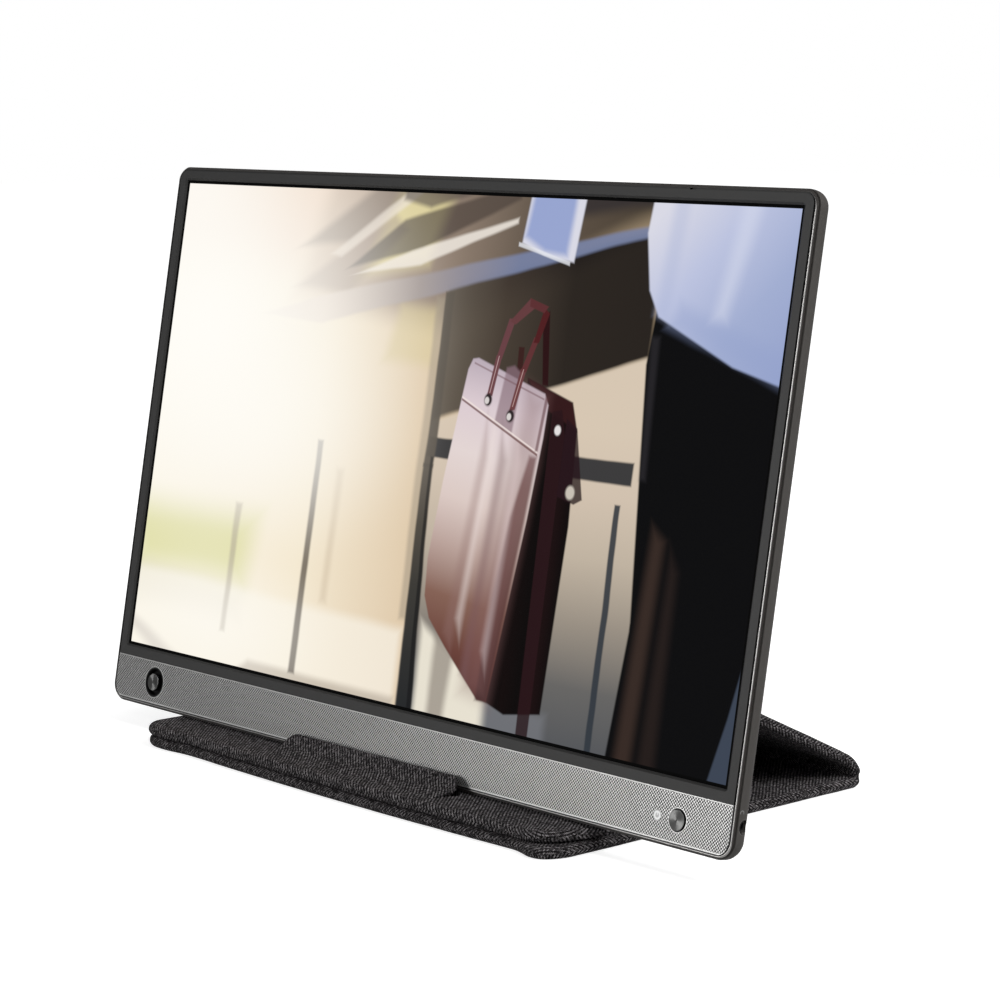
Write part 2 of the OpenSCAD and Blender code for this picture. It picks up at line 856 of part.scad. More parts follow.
// Ring that tips up and down on two pins along the screen's width
module stick_gimbal() {
    color("#8d8f92") at_stick() translate([0, 0, pivot_z]) difference() {
        union() {
            cylinder(r = gimbal_r, h = 1.2, center = true);
            rotate([0, 90, 0]) cylinder(r = pin_r, h = 7.2, center = true);
        }
        cylinder(r = ball_r + 0.25, h = 3, center = true);
        rotate([90, 0, 0]) cylinder(r = pin_r + pin_fit, h = 8, center = true);
    }
}

// Ball that tips left and right in the ring, bored for the stem
module stick_rocker() {
    color("#c4c7ca") at_stick() translate([0, 0, pivot_z]) difference() {
        union() {
            sphere(r = ball_r);
            rotate([90, 0, 0]) cylinder(r = pin_r, h = 5, center = true);
        }
        cylinder(r = stem_r + pin_fit, h = 5, center = true);
    }
}

module stick_cap() {
    color("#c9c9ca") at_stick() rotate_extrude() polygon([
        [0, -4.6], [stem_r, -4.6], [stem_r, 0.1], [cap_r, 0.1], [cap_r, bezel_proud + 0.3],
        [cap_r - 0.3, bezel_proud + 0.6], [0, bezel_proud + 0.5]
    ]);
}

base_outer_skin();
base_inner_skin();
base_board();
riser_outer_skin();
riser_inner_skin();
riser_board();
back_outer_skin();
back_inner_skin();
back_board();
cover_magnets();
lip_outer_skin();
lip_inner_skin();
lip_board();
stopper_root();
stopper_tip();
rear_shell();
middle_frame();
trim_ring();
front_bezel();
chin_plate();
lcd_glass();
light_guide();
reflector_tray();
backlight_strip();
timing_board();
panel_flex();
panel_cable();
main_board();
shield_can();
usb_c_socket();
hdmi_socket();
board_screws();
speaker_left();
speaker_right();
rear_magnets();
side_board();
audio_jack();
jack_ring();
power_switch();
power_button();
status_light();
stick_board();
stick_switch();
stick_well();
stick_gimbal();
stick_rocker();
stick_cap();
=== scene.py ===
import math

import bmesh
import bpy
from mathutils import Matrix, Vector, noise


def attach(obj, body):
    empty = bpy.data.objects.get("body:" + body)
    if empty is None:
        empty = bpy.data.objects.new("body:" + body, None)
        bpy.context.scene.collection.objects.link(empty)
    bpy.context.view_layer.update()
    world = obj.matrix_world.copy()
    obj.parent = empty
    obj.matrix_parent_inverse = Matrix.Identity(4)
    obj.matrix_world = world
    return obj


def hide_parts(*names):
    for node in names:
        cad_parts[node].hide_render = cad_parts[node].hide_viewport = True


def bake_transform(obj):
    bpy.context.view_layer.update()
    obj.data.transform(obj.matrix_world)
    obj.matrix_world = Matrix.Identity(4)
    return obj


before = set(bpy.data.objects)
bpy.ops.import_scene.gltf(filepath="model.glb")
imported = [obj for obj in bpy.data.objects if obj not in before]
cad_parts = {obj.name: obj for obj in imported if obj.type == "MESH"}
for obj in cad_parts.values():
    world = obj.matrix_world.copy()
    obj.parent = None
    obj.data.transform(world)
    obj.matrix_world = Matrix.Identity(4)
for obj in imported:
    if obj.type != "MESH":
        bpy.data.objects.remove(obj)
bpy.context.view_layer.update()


# ---- Base panel ----
# The part of the cover that lies flat on the table: two layers of coarse twill over thin foam and a
# stiff board. The edge is bound with the same cloth, cut across, so its ribs lean the other way.

panel_thick = 0.0044
panel_half = panel_thick / 2
cover_half = 0.1235
cover_mid = -0.0107
cover_front = -0.08125
base_corners = (0.0115, 0.013)
rear_fold_c = (0.07455, 0.0067)
rear_tail = 0.012
# how finely the soft skins are divided, and where the binding and the inner face are cut from the cloth
band_lines = 6
coarse_step, fine_step, round_reach = 0.004, 0.001, 0.022
strip_length, binding_width = 0.41, 0.37
slack_depth = 0.0002
stitch_half, stitch_depth = 0.0006, 0.00014


def walk(start, heading, steps, spacing=coarse_step, tight=0.0):
    """Points along a folded strip seen from the side: (distance, back, up, heading in radians). The
    last stretch, tight long, gets points a millimetre apart for its round corners."""
    y, z = start
    angle = math.radians(heading)
    run = 0.0
    found = [(run, y, z, angle)]
    if tight:
        steps = [("flat", steps[0][1] - tight), ("fine", tight)]
    for kind, size, *turn in steps:
        if kind != "bend":
            count = max(1, round(size / (spacing if kind == "flat" else fine_step)))
            for _ in range(count):
                y += math.cos(angle) * size / count
                z += math.sin(angle) * size / count
                run += size / count
                found.append((run, y, z, angle))
            continue
        swing = math.radians(turn[0])
        side = math.copysign(1, swing)
        cy, cz = y - side * size * math.sin(angle), z + side * size * math.cos(angle)
        count = max(8, math.ceil(abs(turn[0]) / 4))
        first = angle
        for i in range(1, count + 1):
            angle = first + swing * i / count
            y, z = cy + side * size * math.sin(angle), cz - side * size * math.cos(angle)
            run += size * abs(swing) / count
            found.append((run, y, z, angle))
    return found


def at_distance(points, s):
    """Place and heading of the strip at distance s."""
    for a, b in zip(points, points[1:]):
        if s <= b[0] + 1e-9:
            t = (s - a[0]) / (b[0] - a[0])
            return tuple(p + (q - p) * t for p, q in zip(a[1:], b[1:]))
    return points[-1][1:]


def smooth(value, low, high):
    """0 below low, 1 above high and an even curve between."""
    t = max(0.0, min(1.0, (value - low) / (high - low)))
    return t * t * (3 - 2 * t)


def front_bow(x):
    """How far the soft front edge stands forward of a straight line: most in the middle, with the
    corners drawn out again."""
    swell = 0.00095 - 0.23 * (x - 0.008) ** 2
    return swell + 0.0052 * smooth(x, 0.09, 0.11) + 0.0023 * smooth(-x, 0.1, 0.12)


def soft_skin(name, points, corners=None, v0=0.0, v_way=1, face=1, dent=0.0, tuck=0.0, spread=0.0):
    """A padded strip with rounded edges, laid along the points. corners are the radii of the left and
    right corners at its free end. face is the side, 1 left and -1 right of its way, of the cloth that
    faces into the stand. dent sinks the outside of a fold near its end, tuck is how far along its side
    edges are drawn into a crease, and spread is how much wider it lies on the right than it was cut."""
    half, wide = panel_half, cover_half
    length = points[-1][0]
    flat = wide - half
    band = [math.pi / 2 * i / band_lines for i in range(1, band_lines + 1)]
    fine = 0.024 if corners else coarse_step
    across = [(i * coarse_step, 0.0) for i in range(int((flat - fine) / coarse_step) + 1)]
    rest = flat - across[-1][0]
    count = round(rest / (fine_step if corners else coarse_step))
    across += [(across[-1][0] + rest * i / count, 0.0) for i in range(1, count + 1)]
    across += [(flat + half * math.sin(q), q) for q in band]
    xs = [(-x, q) for x, q in reversed(across[1:])] + across
    rows = [(p[0], 0.0) for p in points]
    if corners:
        rows = [r for r in rows if r[0] < length - half - 1e-6]
        rows += [(length - half + half * math.sin(q), q) for q in [0.0] + band]

    def spot(x, s, upper):
        """Plan place, unrolled place and quarter angle of a grid point."""
        side = math.copysign(1, x[0])
        ax, q = abs(x[0]), max(x[1], s[1])
        if corners:
            reach = corners[0] if side < 0 else corners[1]
            bx, bs = ax - (wide - reach), s[0] - (length - reach)
            if bx > 0 and bs > 0:
                far = bx if bx >= bs else bs
                q = x[1] if bx >= bs else s[1]
                turn = math.pi / 4 * (bs / bx) if bx >= bs else math.pi / 2 - math.pi / 4 * (bx / bs)
                rolled = far if q == 0 else reach - half + half * (q if upper else math.pi - q)
                c, d = math.cos(turn), math.sin(turn)
                return ((side * (wide - reach + far * c), length - reach + far * d),
                        (side * (wide - reach + rolled * c), length - reach + rolled * d), q)
        ux = ax if x[1] == 0 else flat + half * (x[1] if upper else math.pi - x[1])
        us = s[0] if s[1] == 0 else length - half + half * (s[1] if upper else math.pi - s[1])
        return (x[0], s[0]), (side * ux, us), q

    mesh = bmesh.new()
    cloth = mesh.loops.layers.uv.new("cloth")
    grid = {}
    last = len(rows) - 1
    for side in (1, -1):
        for j, s in enumerate(rows):
            for i, x in enumerate(xs):
                plan, _, q = spot(x, s, side == face)
                rim = i in (0, len(xs) - 1) or (corners and j == last)
                if rim and side == -1:
                    grid[-1, i, j] = grid[1, i, j]
                    continue
                y, z, a = at_distance(points, plan[1])
                out = Vector((0, -math.sin(a), math.cos(a))) * side
                place = Vector((cover_mid + plan[0], y, z))
                deep = half * math.cos(q)
                if side != face:
                    deep -= dent * math.cos(q) * smooth(1 - abs(plan[1] / length - 0.68) * 4, 0, 1)
                place += out * deep
                # the cloth is a little slack, and drawn down where the binding is sewn on
                slack = noise.noise(place * 50) * 0.7 + noise.noise(place * 150) * 0.3
                place -= out * slack_depth * abs(slack) * math.cos(q)
                drawn = slack_depth * abs(noise.noise(place * 60))
                if tuck:
                    drawn += 0.0019 * math.exp(-((plan[1] - tuck) / 0.0009) ** 2)
                place.x -= math.copysign(drawn, x[0]) * math.sin(q)
                if q == 0 and abs(stitch_line(plan, wide, length, half, corners)) < stitch_half:
                    place -= out * stitch_depth
                if corners:
                    place.y -= smooth(plan[1], length - 0.022, length) * front_bow(place.x)
                    wider = smooth(plan[1], 0, 0.03) + 1.2 * smooth(plan[1], length - 0.06, length - 0.02)
                    place.x += spread * wider * smooth(plan[0], 0.09, 0.12)
                grid[side, i, j] = mesh.verts.new(place)
    for side, loops, keys in faces_over(mesh, grid, len(xs), len(rows)):
        found = [spot(xs[i], rows[j], side == face) for i, j in keys]
        bound = max(f[2] for f in found) > 0.01
        for loop, (plan, rolled, _) in zip(loops, found):
            u, v = rolled if bound else plan
            v = v0 + v_way * v
            if side != face:
                v = strip_length - v
            loop[cloth].uv = unrolled(binding_width - u if bound else u, v)
    for j in [0] if corners else [0, last]:
        close_end(mesh, grid, len(xs), j)
    return finished(name, mesh)


def faces_over(mesh, grid, across, along):
    """Lays the faces over both sides of a grid of corners, and gives each face's side, its loops and
    their places in the grid."""
    for side in (1, -1):
        for j in range(along - 1):
            for i in range(across - 1):
                ring = [(i, j), (i + 1, j), (i + 1, j + 1), (i, j + 1)]
                spots = {}
                for key in ring if side == -1 else ring[::-1]:
                    spots.setdefault(grid[side, key[0], key[1]], key)
                if len(spots) > 2:
                    made = mesh.faces.new(list(spots))
                    made.smooth = True
                    yield side, made.loops, spots.values()


def close_end(mesh, grid, across, j):
    """Closes row j of the grid with a flat, sharp-edged end."""
    ring = [grid[1, i, j] for i in range(across)]
    ring += [grid[-1, i, j] for i in range(across - 2, 0, -1)]
    for edge in mesh.faces.new(ring).edges:
        edge.smooth = False


def finished(name, mesh):
    """Turns a worked mesh into a piece of the scene."""
    bmesh.ops.recalc_face_normals(mesh, faces=mesh.faces)
    data = bpy.data.meshes.new(name)
    mesh.to_mesh(data)
    mesh.free()
    piece = bpy.data.objects.new(name, data)
    bpy.context.scene.collection.objects.link(piece)
    return piece


def unrolled(u, v):
    """Cloth coordinates, in tenths of a metre, for a place on the cloth laid flat."""
    return u * 10, v * 10


def stitch_line(plan, wide, length, half, corners):
    """Distance of a plan place from the line where the binding meets the face."""
    x, s = abs(plan[0]), plan[1]
    if corners:
        reach = corners[0] if plan[0] < 0 else corners[1]
        bx, bs = x - (wide - reach), s - (length - reach)
        if bx > 0 and bs > 0:
            return math.hypot(bx, bs) - (reach - half)
        return max(x - (wide - half), s - (length - half))
    return x - (wide - half)


def feed(made, **values):
    """Gives a shader node its values: to the input of that name, or i0, i1 or i2 by number, or else to
    the node's own setting."""
    for key, value in values.items():
        plug = int(key[1:]) if key[1:].isdigit() else key.replace("_", " ")
        if isinstance(plug, str) and plug not in made.inputs:
            setattr(made, key, value)
            continue
        socket = made.inputs[plug]
        if isinstance(value, bpy.types.NodeSocket):
            socket.id_data.links.new(value, socket)
        elif socket.type == "RGBA":
            socket.default_value = (*value[:3], 1)
        else:
            socket.default_value = value
    return made


def node(tree, kind, **values):
    return feed(tree.nodes.new("ShaderNode" + kind), **values)


def sums(tree, operation, a, b=0.0, c=0.0):
    return node(tree, "Math", operation=operation, i0=a, i1=b, i2=c).outputs[0]


def vectors(tree, operation, *given):
    """A sum of vectors; a number where it is a length or a dot product."""
    made = node(tree, "VectorMath", operation=operation, **{f"i{k}": v for k, v in enumerate(given)})
    return made.outputs["Value" if operation in ("LENGTH", "DOT_PRODUCT") else "Vector"]


def split(tree, place):
    return tuple(node(tree, "SeparateXYZ", Vector=place).outputs)


def cloud(tree, place, scale, detail=2.0):
    return node(tree, "TexNoise", Vector=place, Scale=scale, Detail=detail).outputs["Fac"]


def mixed(tree, share, a, b):
    """The first colour where share is 0, the second where it is 1."""
    return node(tree, "Mix", data_type="RGBA", Factor=share, A=a, B=b).outputs["Result"]


def ranged(tree, value, low, high, first=0.0, last=1.0, **more):
    """first at low, last at high, an even slope between and level beyond."""
    return node(tree, "MapRange", Value=value, From_Min=low, From_Max=high, To_Min=first, To_Max=last,
                **more).outputs[0]


def group_of(name, inputs, outputs):
    """An empty node group with a vector called Place, the numbers in inputs, and its outputs."""
    group = bpy.data.node_groups.new(name, "ShaderNodeTree")
    group.interface.new_socket("Place", in_out="INPUT", socket_type="NodeSocketVector")
    for label, usual in inputs.items():
        group.interface.new_socket(label, in_out="INPUT", socket_type="NodeSocketFloat").default_value = usual
    for label in outputs:
        group.interface.new_socket(label, in_out="OUTPUT", socket_type="NodeSocketFloat")
    return group, group.nodes.new("NodeGroupInput").outputs, group.nodes.new("NodeGroupOutput")


def twill_group():
    """Coarse two-over-two twill. Height is that of the yarn on top, Over is 1 where that is a warp
    yarn, Tone is a number for each stretch of yarn between two dips, and Fibre is a fine fuzz."""
    group, given, outlet = group_of("coarse twill", {"Warp": 0.004, "Weft": 0.0047},
                                    ("Height", "Over", "Tone", "Fibre"))
    wobble = node(group, "TexNoise", Vector=given["Place"], Scale=11.0, Detail=3.0).outputs["Color"]
    shift = vectors(group, "MULTIPLY_ADD", wobble, (0.009, 0.009, 0), given["Place"])
    pitch = node(group, "CombineXYZ", X=given["Warp"], Y=given["Weft"], Z=1.0).outputs[0]
    count = vectors(group, "DIVIDE", shift, pitch)
    u, v, _ = split(group, count)
    warp, weft = sums(group, "FLOOR", u), sums(group, "FLOOR", v)
    both = sums(group, "ADD", warp, weft)
    phase = sums(group, "FLOORED_MODULO", both, 4.0)
    over = sums(group, "LESS_THAN", phase, 1.5)
    in_u, in_v = sums(group, "FRACT", u), sums(group, "FRACT", v)

    def choose(when, other):
        """The first value on warp stretches, the second on weft stretches."""
        return sums(group, "MULTIPLY_ADD", over, sums(group, "SUBTRACT", when, other), other)

    def arch(value):
        return sums(group, "SINE", sums(group, "MULTIPLY", value, math.pi))

    stretch = choose(phase, sums(group, "SUBTRACT", phase, 2.0))
    along = sums(group, "MULTIPLY", sums(group, "ADD", stretch, choose(in_v, in_u)), 0.5)
    height = sums(group, "MULTIPLY", arch(choose(in_u, in_v)), sums(group, "POWER", arch(along), 0.5))
    yarn = choose(warp, sums(group, "ADD", weft, 7000.5))
    cell = node(group, "CombineXYZ", X=yarn, Y=sums(group, "FLOOR", sums(group, "MULTIPLY", both, 0.25)))
    chance = node(group, "TexWhiteNoise", noise_dimensions="2D", Vector=cell.outputs[0])
    fibre = node(group, "TexNoise", Vector=count, Scale=1.3, Detail=4.0, Roughness=0.7)
    feed(outlet, Height=height, Over=over, Tone=chance.outputs["Value"], Fibre=fibre.outputs["Fac"])
    return group


def material(name):
    made = bpy.data.materials.new(name)
    made.use_nodes = True
    return made, made.node_tree, made.node_tree.nodes["Principled BSDF"]


def cloth_material(name, weft, dull, pale):
    """Nearly black weft, and warp yarns of uneven tone lying over it in steep diagonal ribs."""
    made, tree, shader = material(name)
    place = node(tree, "UVMap", uv_map="cloth").outputs[0]
    weave = node(tree, "Group", node_tree=twill_group(), Place=place).outputs
    fuzz = sums(tree, "MULTIPLY_ADD", weave["Fibre"], 1.1, -0.55)
    share = sums(tree, "ADD", sums(tree, "POWER", weave["Tone"], 1.5), fuzz)
    greyed = [a * 0.75 + b * 0.25 for a, b in zip(dull, pale)]
    under = mixed(tree, sums(tree, "POWER", weave["Tone"], 4.0), weft, greyed)
    both = mixed(tree, weave["Over"], under, mixed(tree, share, dull, pale))
    # painted shade: the dips between yarn stretches are darkened below the weft's own tone
    dip_shade = ranged(tree, weave["Height"], 0.05, 0.65)
    bump = node(tree, "Bump", Strength=1.0, Distance=0.0003, Height=weave["Height"])
    feed(shader, Base_Color=mixed(tree, dip_shade, [c * 0.4 for c in weft], both), Roughness=0.95,
         Specular_IOR_Level=0.08, Normal=bump.outputs[0])
    return made


charcoal_twill = cloth_material("charcoal twill", (0.006, 0.0055, 0.006), (0.036, 0.033, 0.035),
                                (0.44, 0.41, 0.42))


def dress(piece, finish):
    piece.data.materials.clear()
    piece.data.materials.append(finish)
    return piece


base_length = rear_fold_c[0] - rear_tail - cover_front
base = soft_skin("base_cloth", walk((rear_fold_c[0] - rear_tail, panel_half), 180,
                                    [("flat", base_length)], tight=round_reach),
                 corners=base_corners, v0=base_length, v_way=-1, face=-1, spread=0.0005)
dress(base, charcoal_twill)
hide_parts("base_outer_skin", "base_inner_skin")
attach(base, "base_panel")


# ---- Rear fold ----
# The cloth and foam run on round the back without a board, and bend there into a soft nose. The
# foam bunches inside the bend, so the two panels meet there in a tight crease.

riser_heading = 154.9
rear_fold_r = rear_fold_c[1] - panel_half


def heading_of(degrees):
    return Vector((math.cos(math.radians(degrees)), math.sin(math.radians(degrees))))


nose_end = Vector(rear_fold_c) + rear_fold_r * heading_of(riser_heading - 90)
tip_r, tip_heading, tip_start = 0.0026, 110, 0.07725
slack_r, slack_heading = 0.02, riser_heading + 5


def turn_by(radius, first, last):
    """Where an arc of the radius leads from its start, given its first and last headings."""
    side = math.copysign(1, last - first)
    return side * radius * (heading_of(last - 90) - heading_of(first - 90))


# the middle arc's radius brings the fold's end onto the riser's line
across_riser = heading_of(riser_heading + 90)
spent = (Vector((tip_start, panel_half)) + turn_by(tip_r, 0, tip_heading)
         + turn_by(slack_r, slack_heading, riser_heading))
flank_r = across_riser.dot(nose_end - spent) / across_riser.dot(turn_by(1, tip_heading, slack_heading))
turned_end = spent + turn_by(flank_r, tip_heading, slack_heading)
straight = rear_tail - (turned_end - nose_end).dot(heading_of(riser_heading))
rear_fold_path = walk((rear_fold_c[0] - rear_tail, panel_half), 0,
                      [("flat", rear_tail + tip_start - rear_fold_c[0]), ("bend", tip_r, tip_heading),
                       ("bend", flank_r, slack_heading - tip_heading),
                       ("bend", slack_r, riser_heading - slack_heading), ("flat", straight)], 0.002)
rear_fold = soft_skin("rear_fold_cloth", rear_fold_path, v0=base_length, dent=0.0004,
                      tuck=rear_tail + tip_start - rear_fold_c[0] + 0.0038)
dress(rear_fold, charcoal_twill)
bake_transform(rear_fold)
run = base_length + rear_fold_path[-1][0]


# ---- Riser ----
# The sloping back of the stand, the same sandwich of twill, foam and board as the base.

top_fold_c = (-0.0387314, 0.0614213)
top_fold_r = 0.0052 - panel_half
riser_end = Vector(top_fold_c) + top_fold_r * heading_of(riser_heading - 90)
top_tail = 0.002
riser_length = (riser_end - nose_end).length - rear_tail - top_tail
riser = soft_skin("riser_cloth", walk(nose_end + rear_tail * heading_of(riser_heading), riser_heading,
                                      [("flat", riser_length)]), v0=run)
dress(riser, charcoal_twill)
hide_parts("riser_outer_skin", "riser_inner_skin")
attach(riser, "riser_panel")
run += riser_length


# ---- Fold behind the monitor ----
# A tight fold at the top of the stand. The two layers of cloth and the foam run through it from the
# riser, and there is no board here, so it bends.

back_heading = 259.9
fold_turn = back_heading - riser_heading
top_fold_path = walk(riser_end - top_tail * heading_of(riser_heading), riser_heading,
                     [("flat", top_tail), ("bend", top_fold_r, fold_turn), ("flat", top_tail)])
top_fold = soft_skin("top_fold_cloth", top_fold_path, v0=run)
dress(top_fold, charcoal_twill)
back_begin = Vector(top_fold_c) + top_fold_r * heading_of(back_heading - 90)
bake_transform(top_fold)
run += top_fold_path[-1][0]


# ---- Back panel ----
# The short panel behind the monitor, twill over foam and a board. Four flat magnets in the board hold
# the monitor to it.

lip_fold_c = (-0.0543739, 0.0101)
lip_fold_r = 0.0012 + panel_half
back_end = Vector(lip_fold_c) + lip_fold_r * heading_of(back_heading + 90)
lip_tail = 0.0008
back_length = (back_end - back_begin).length - top_tail - lip_tail
back = soft_skin("back_panel_cloth", walk(back_begin + top_tail * heading_of(back_heading), back_heading,
                                          [("flat", back_length)]), v0=run)
dress(back, charcoal_twill)
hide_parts("back_outer_skin", "back_inner_skin")
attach(back, "back_panel")
run += back_length


# ---- Fold under the monitor ----
# The cloth turns forward here, round the monitor's lower edge. Like the other folds it is cloth and
# foam without a board.

lip_turn = back_heading - 180
lip_fold_path = walk(back_end - lip_tail * heading_of(back_heading), back_heading,
                     [("flat", lip_tail), ("bend", lip_fold_r, -lip_turn), ("flat", lip_tail)], 0.0004)
lip_fold = soft_skin("lip_fold_cloth", lip_fold_path, v0=run)
dress(lip_fold, charcoal_twill)
lip_begin = Vector(lip_fold_c) + Vector((0, -lip_fold_r))
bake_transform(lip_fold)
run += lip_fold_path[-1][0]


# ---- Lip ----
# The monitor's lower edge stands on this short panel of twill, foam and board. A pocket is cut in its
# upper layer, where the stopper lies when the cover is packed away.

lip_corners = (0.0105, 0.0225)
lip_top = 0.0089
lip_length = lip_begin.x - lip_tail - cover_front
stopper_mid = -0.0046
stopper_y = cover_front + 0.0061
stopper_half = 0.047
stopper_flare = 0.004
stopper_root = 0.008
stopper_tip = 0.0068
lip = soft_skin("lip_cloth", walk(lip_begin - Vector((lip_tail, 0)), 180, [("flat", lip_length)],
                                  tight=round_reach), corners=lip_corners, v0=run)


def prism(name, outline, low, high):
    """A straight-sided solid over an outline in the table's plane."""
    mesh = bmesh.new()
    below = [mesh.verts.new((x, y, low)) for x, y in outline]
    above = [mesh.verts.new((x, y, high)) for x, y in outline]
    mesh.faces.new(below[::-1])
    mesh.faces.new(above)
    for i in range(len(outline)):
        j = (i + 1) % len(outline)
        mesh.faces.new((below[i], below[j], above[j], above[i]))
    cloth = mesh.loops.layers.uv.new("cloth")
    for face in mesh.faces:
        for loop in face.loops:
            loop[cloth].uv = unrolled(loop.vert.co.x, loop.vert.co.y)
    return finished(name, mesh)


def keep_modifiers(piece):
    """Applies the piece's modifiers to its mesh."""
    bpy.context.view_layer.update()
    seen = piece.evaluated_get(bpy.context.evaluated_depsgraph_get())
    data = bpy.data.meshes.new_from_object(seen)
    piece.modifiers.clear()
    piece.data = data


def cut(piece, cutter):
    step = piece.modifiers.new("cut", "BOOLEAN")
    step.operation = "DIFFERENCE"
    step.object = cutter
    step.solver = "EXACT"
    keep_modifiers(piece)
    bpy.data.objects.remove(cutter)


grow = 0.0004
reach = stopper_root + stopper_tip + grow
wide_end = stopper_half + stopper_flare + grow
slant = 0.005
pocket = [(stopper_mid + x, stopper_y + y) for x, y in (
    (-stopper_half - grow, 0), (stopper_half + grow, 0), (wide_end, reach - slant),
    (wide_end - slant, reach), (slant - wide_end, reach), (-wide_end, reach - slant))]
cut(lip, prism("pocket_cutter", pocket, lip_top - 0.0021, lip_top + 0.001))
dress(lip, charcoal_twill)
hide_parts("lip_outer_skin", "lip_inner_skin")
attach(lip, "lip_panel")


# ---- Stopper ----
# Two cloth leaves hinged in the lip. Folded up they lean on the chin and keep the monitor from
# sliding forward. A seam runs along the free edge.

leaf_thick = 0.0019
leaf_half = leaf_thick / 2
root_slope, tip_slope = 14, 48
seam_in, seam_half = 0.0021, 0.0004
middle = Vector((stopper_y, lip_top)) + leaf_half * heading_of(root_slope - 90)


def leaf_point(s, d):
    """Place on the stopper's side view, s along it from the hinge and d above its middle line."""
    soft = 0.0022
    bend = max(0.0, min(1.0, (s - stopper_root + soft / 2) / soft))
    a, b = heading_of(root_slope), heading_of(tip_slope)
    spot = middle + a * min(s, stopper_root) + b * max(0.0, s - stopper_root)
    ease = soft / 2 - abs(s - stopper_root)
    if ease > 0:
        spot += (b - a) * ease * ease / (2 * soft)
    way = a.lerp(b, bend).normalized()
    return spot + d * Vector((-way.y, way.x))


def stopper_sheet():
    """The cloth strip: rounded edges, a rounded pair of outer corners and a stitched seam."""
    mesh = bmesh.new()
    cloth = mesh.loops.layers.uv.new("cloth")
    length = stopper_root + stopper_tip
    free = 0.0065
    rows = [length * i / 44 for i in range(45)]
    columns = [i / 60 for i in range(-60, 61)]
    grid = {}
    for side in (1, -1):
        for j, s in enumerate(rows):
            edge = stopper_half + stopper_flare * min(1.0, s / (length - free))
            if s > length - free:
                t = (s - length + free) / free
                edge -= free * (1 - math.sqrt(max(0.0, 1 - t * t)))
            edge = max(edge, 0.02)
            for i, c in enumerate(columns):
                u = math.copysign(1 - (1 - abs(c)) ** 1.6, c)
                x = u * edge
                rim = min(edge - abs(x), (length - s) * 1.0)
                rim = max(0.0, min(1.0, rim / (leaf_half * 0.9)))
                thick = leaf_half * math.sqrt(1 - (1 - rim) ** 2)
                seam = math.exp(-((length - seam_in - s) / seam_half) ** 2)
                thick *= 1 - 0.5 * seam
                # the ends are pressed thin from below, which leaves a dark gap over the lip
                thin = max(0.0, 1 - (edge - abs(x)) / 0.003) ** 2
                raised = 0.0008 * (1 - math.sqrt(1 - max(0.0, 1 - (edge - abs(x)) / 0.00085) ** 2))
                if side == -1:
                    thick *= 1 - 0.75 * thin
                if side == -1 and (abs(c) == 1 or j == len(rows) - 1):
                    grid[-1, i, j] = grid[1, i, j]
                    continue
                y, z = leaf_point(s, side * thick + raised)
                place = Vector((stopper_mid + x, y, z))
                place.z += 0.0001 * noise.noise(place * 90)
                grid[side, i, j] = mesh.verts.new(place)
    for _, loops, keys in faces_over(mesh, grid, len(columns), len(rows)):
        for loop, (_, j) in zip(loops, keys):
            loop[cloth].uv = unrolled(loop.vert.co.x, rows[j])
    close_end(mesh, grid, len(columns), 0)
    return finished("stopper_cloth", mesh)


stopper = stopper_sheet()
dress(stopper, charcoal_twill)
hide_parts("stopper_root", "stopper_tip")
crease = leaf_point(stopper_root, 0)
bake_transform(stopper)


# ---- Boards and magnets in the cover ----
# Stiff grey board inside each flat, glued between the layers of foam, and nickel-plated discs let into
# the back panel's board and the monitor's back. All out of sight.


def grained(name, dark, light, scale, rough, metal=0.0, stretch=(1, 1, 1), depth=0.00005, gloss=0.5):
    """Plain stuff with a fine cloudy grain."""
    made, tree, shader = material(name)
    place = node(tree, "TexCoord").outputs["Object"]
    grain = cloud(tree, node(tree, "Mapping", Vector=place, Scale=stretch).outputs[0], scale, 5.0)
    bump = node(tree, "Bump", Strength=0.5, Distance=depth, Height=grain)
    feed(shader, Base_Color=mixed(tree, grain, dark, light), Metallic=metal, Specular_IOR_Level=gloss,
         Roughness=ranged(tree, grain, 0.0, 1.0, rough * 0.85, rough * 1.15), Normal=bump.outputs[0])
    return made


def wear(finish, *parts):
    for part in parts:
        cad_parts[part].material_slots[0].material = finish


wear(grained("grey board", (0.16, 0.15, 0.14), (0.3, 0.29, 0.27), 900, 0.9),
     "base_board", "riser_board", "back_board", "lip_board")
wear(grained("nickel plate", (0.5, 0.49, 0.47), (0.62, 0.61, 0.58), 300, 0.3, metal=1.0),
     "cover_magnets", "rear_magnets")


# ---- Rear shell ----
# One thin moulding of satin dark grey plastic, rounded into the sides all round. Low on its right
# side are painted shade round the headphone socket's opening, a painted highlight on its lip and a small
# printed sign.

tilt = math.radians(10.1)
screen_up = Vector((0, math.sin(tilt), math.cos(tilt)))
screen_out = Vector((0, -math.cos(tilt), math.sin(tilt)))
screen_mid = Vector((0, -0.03965, 0.12936845))


def monitor_place(tree):
    """Across, up and out from the middle of the glass, in metres, as a vector."""
    place = node(tree, "TexCoord").outputs["Object"]
    moved = vectors(tree, "SUBTRACT", place, tuple(screen_mid))
    up, out = (vectors(tree, "DOT_PRODUCT", moved, tuple(way)) for way in (screen_up, screen_out))
    return node(tree, "CombineXYZ", X=split(tree, moved)[0], Y=up, Z=out).outputs[0]


def line_at(tree, value, middle, outer, inner):
    """1 nearer than inner to the middle value, 0 further than outer."""
    return ranged(tree, sums(tree, "ABSOLUTE", sums(tree, "SUBTRACT", value, middle)), outer, inner)


def ground_of(made):
    """The material's tree and shader, and what its base colour is drawn from."""
    tree = made.node_tree
    shader = tree.nodes["Principled BSDF"]
    return tree, shader, shader.inputs["Base Color"].links[0].from_socket


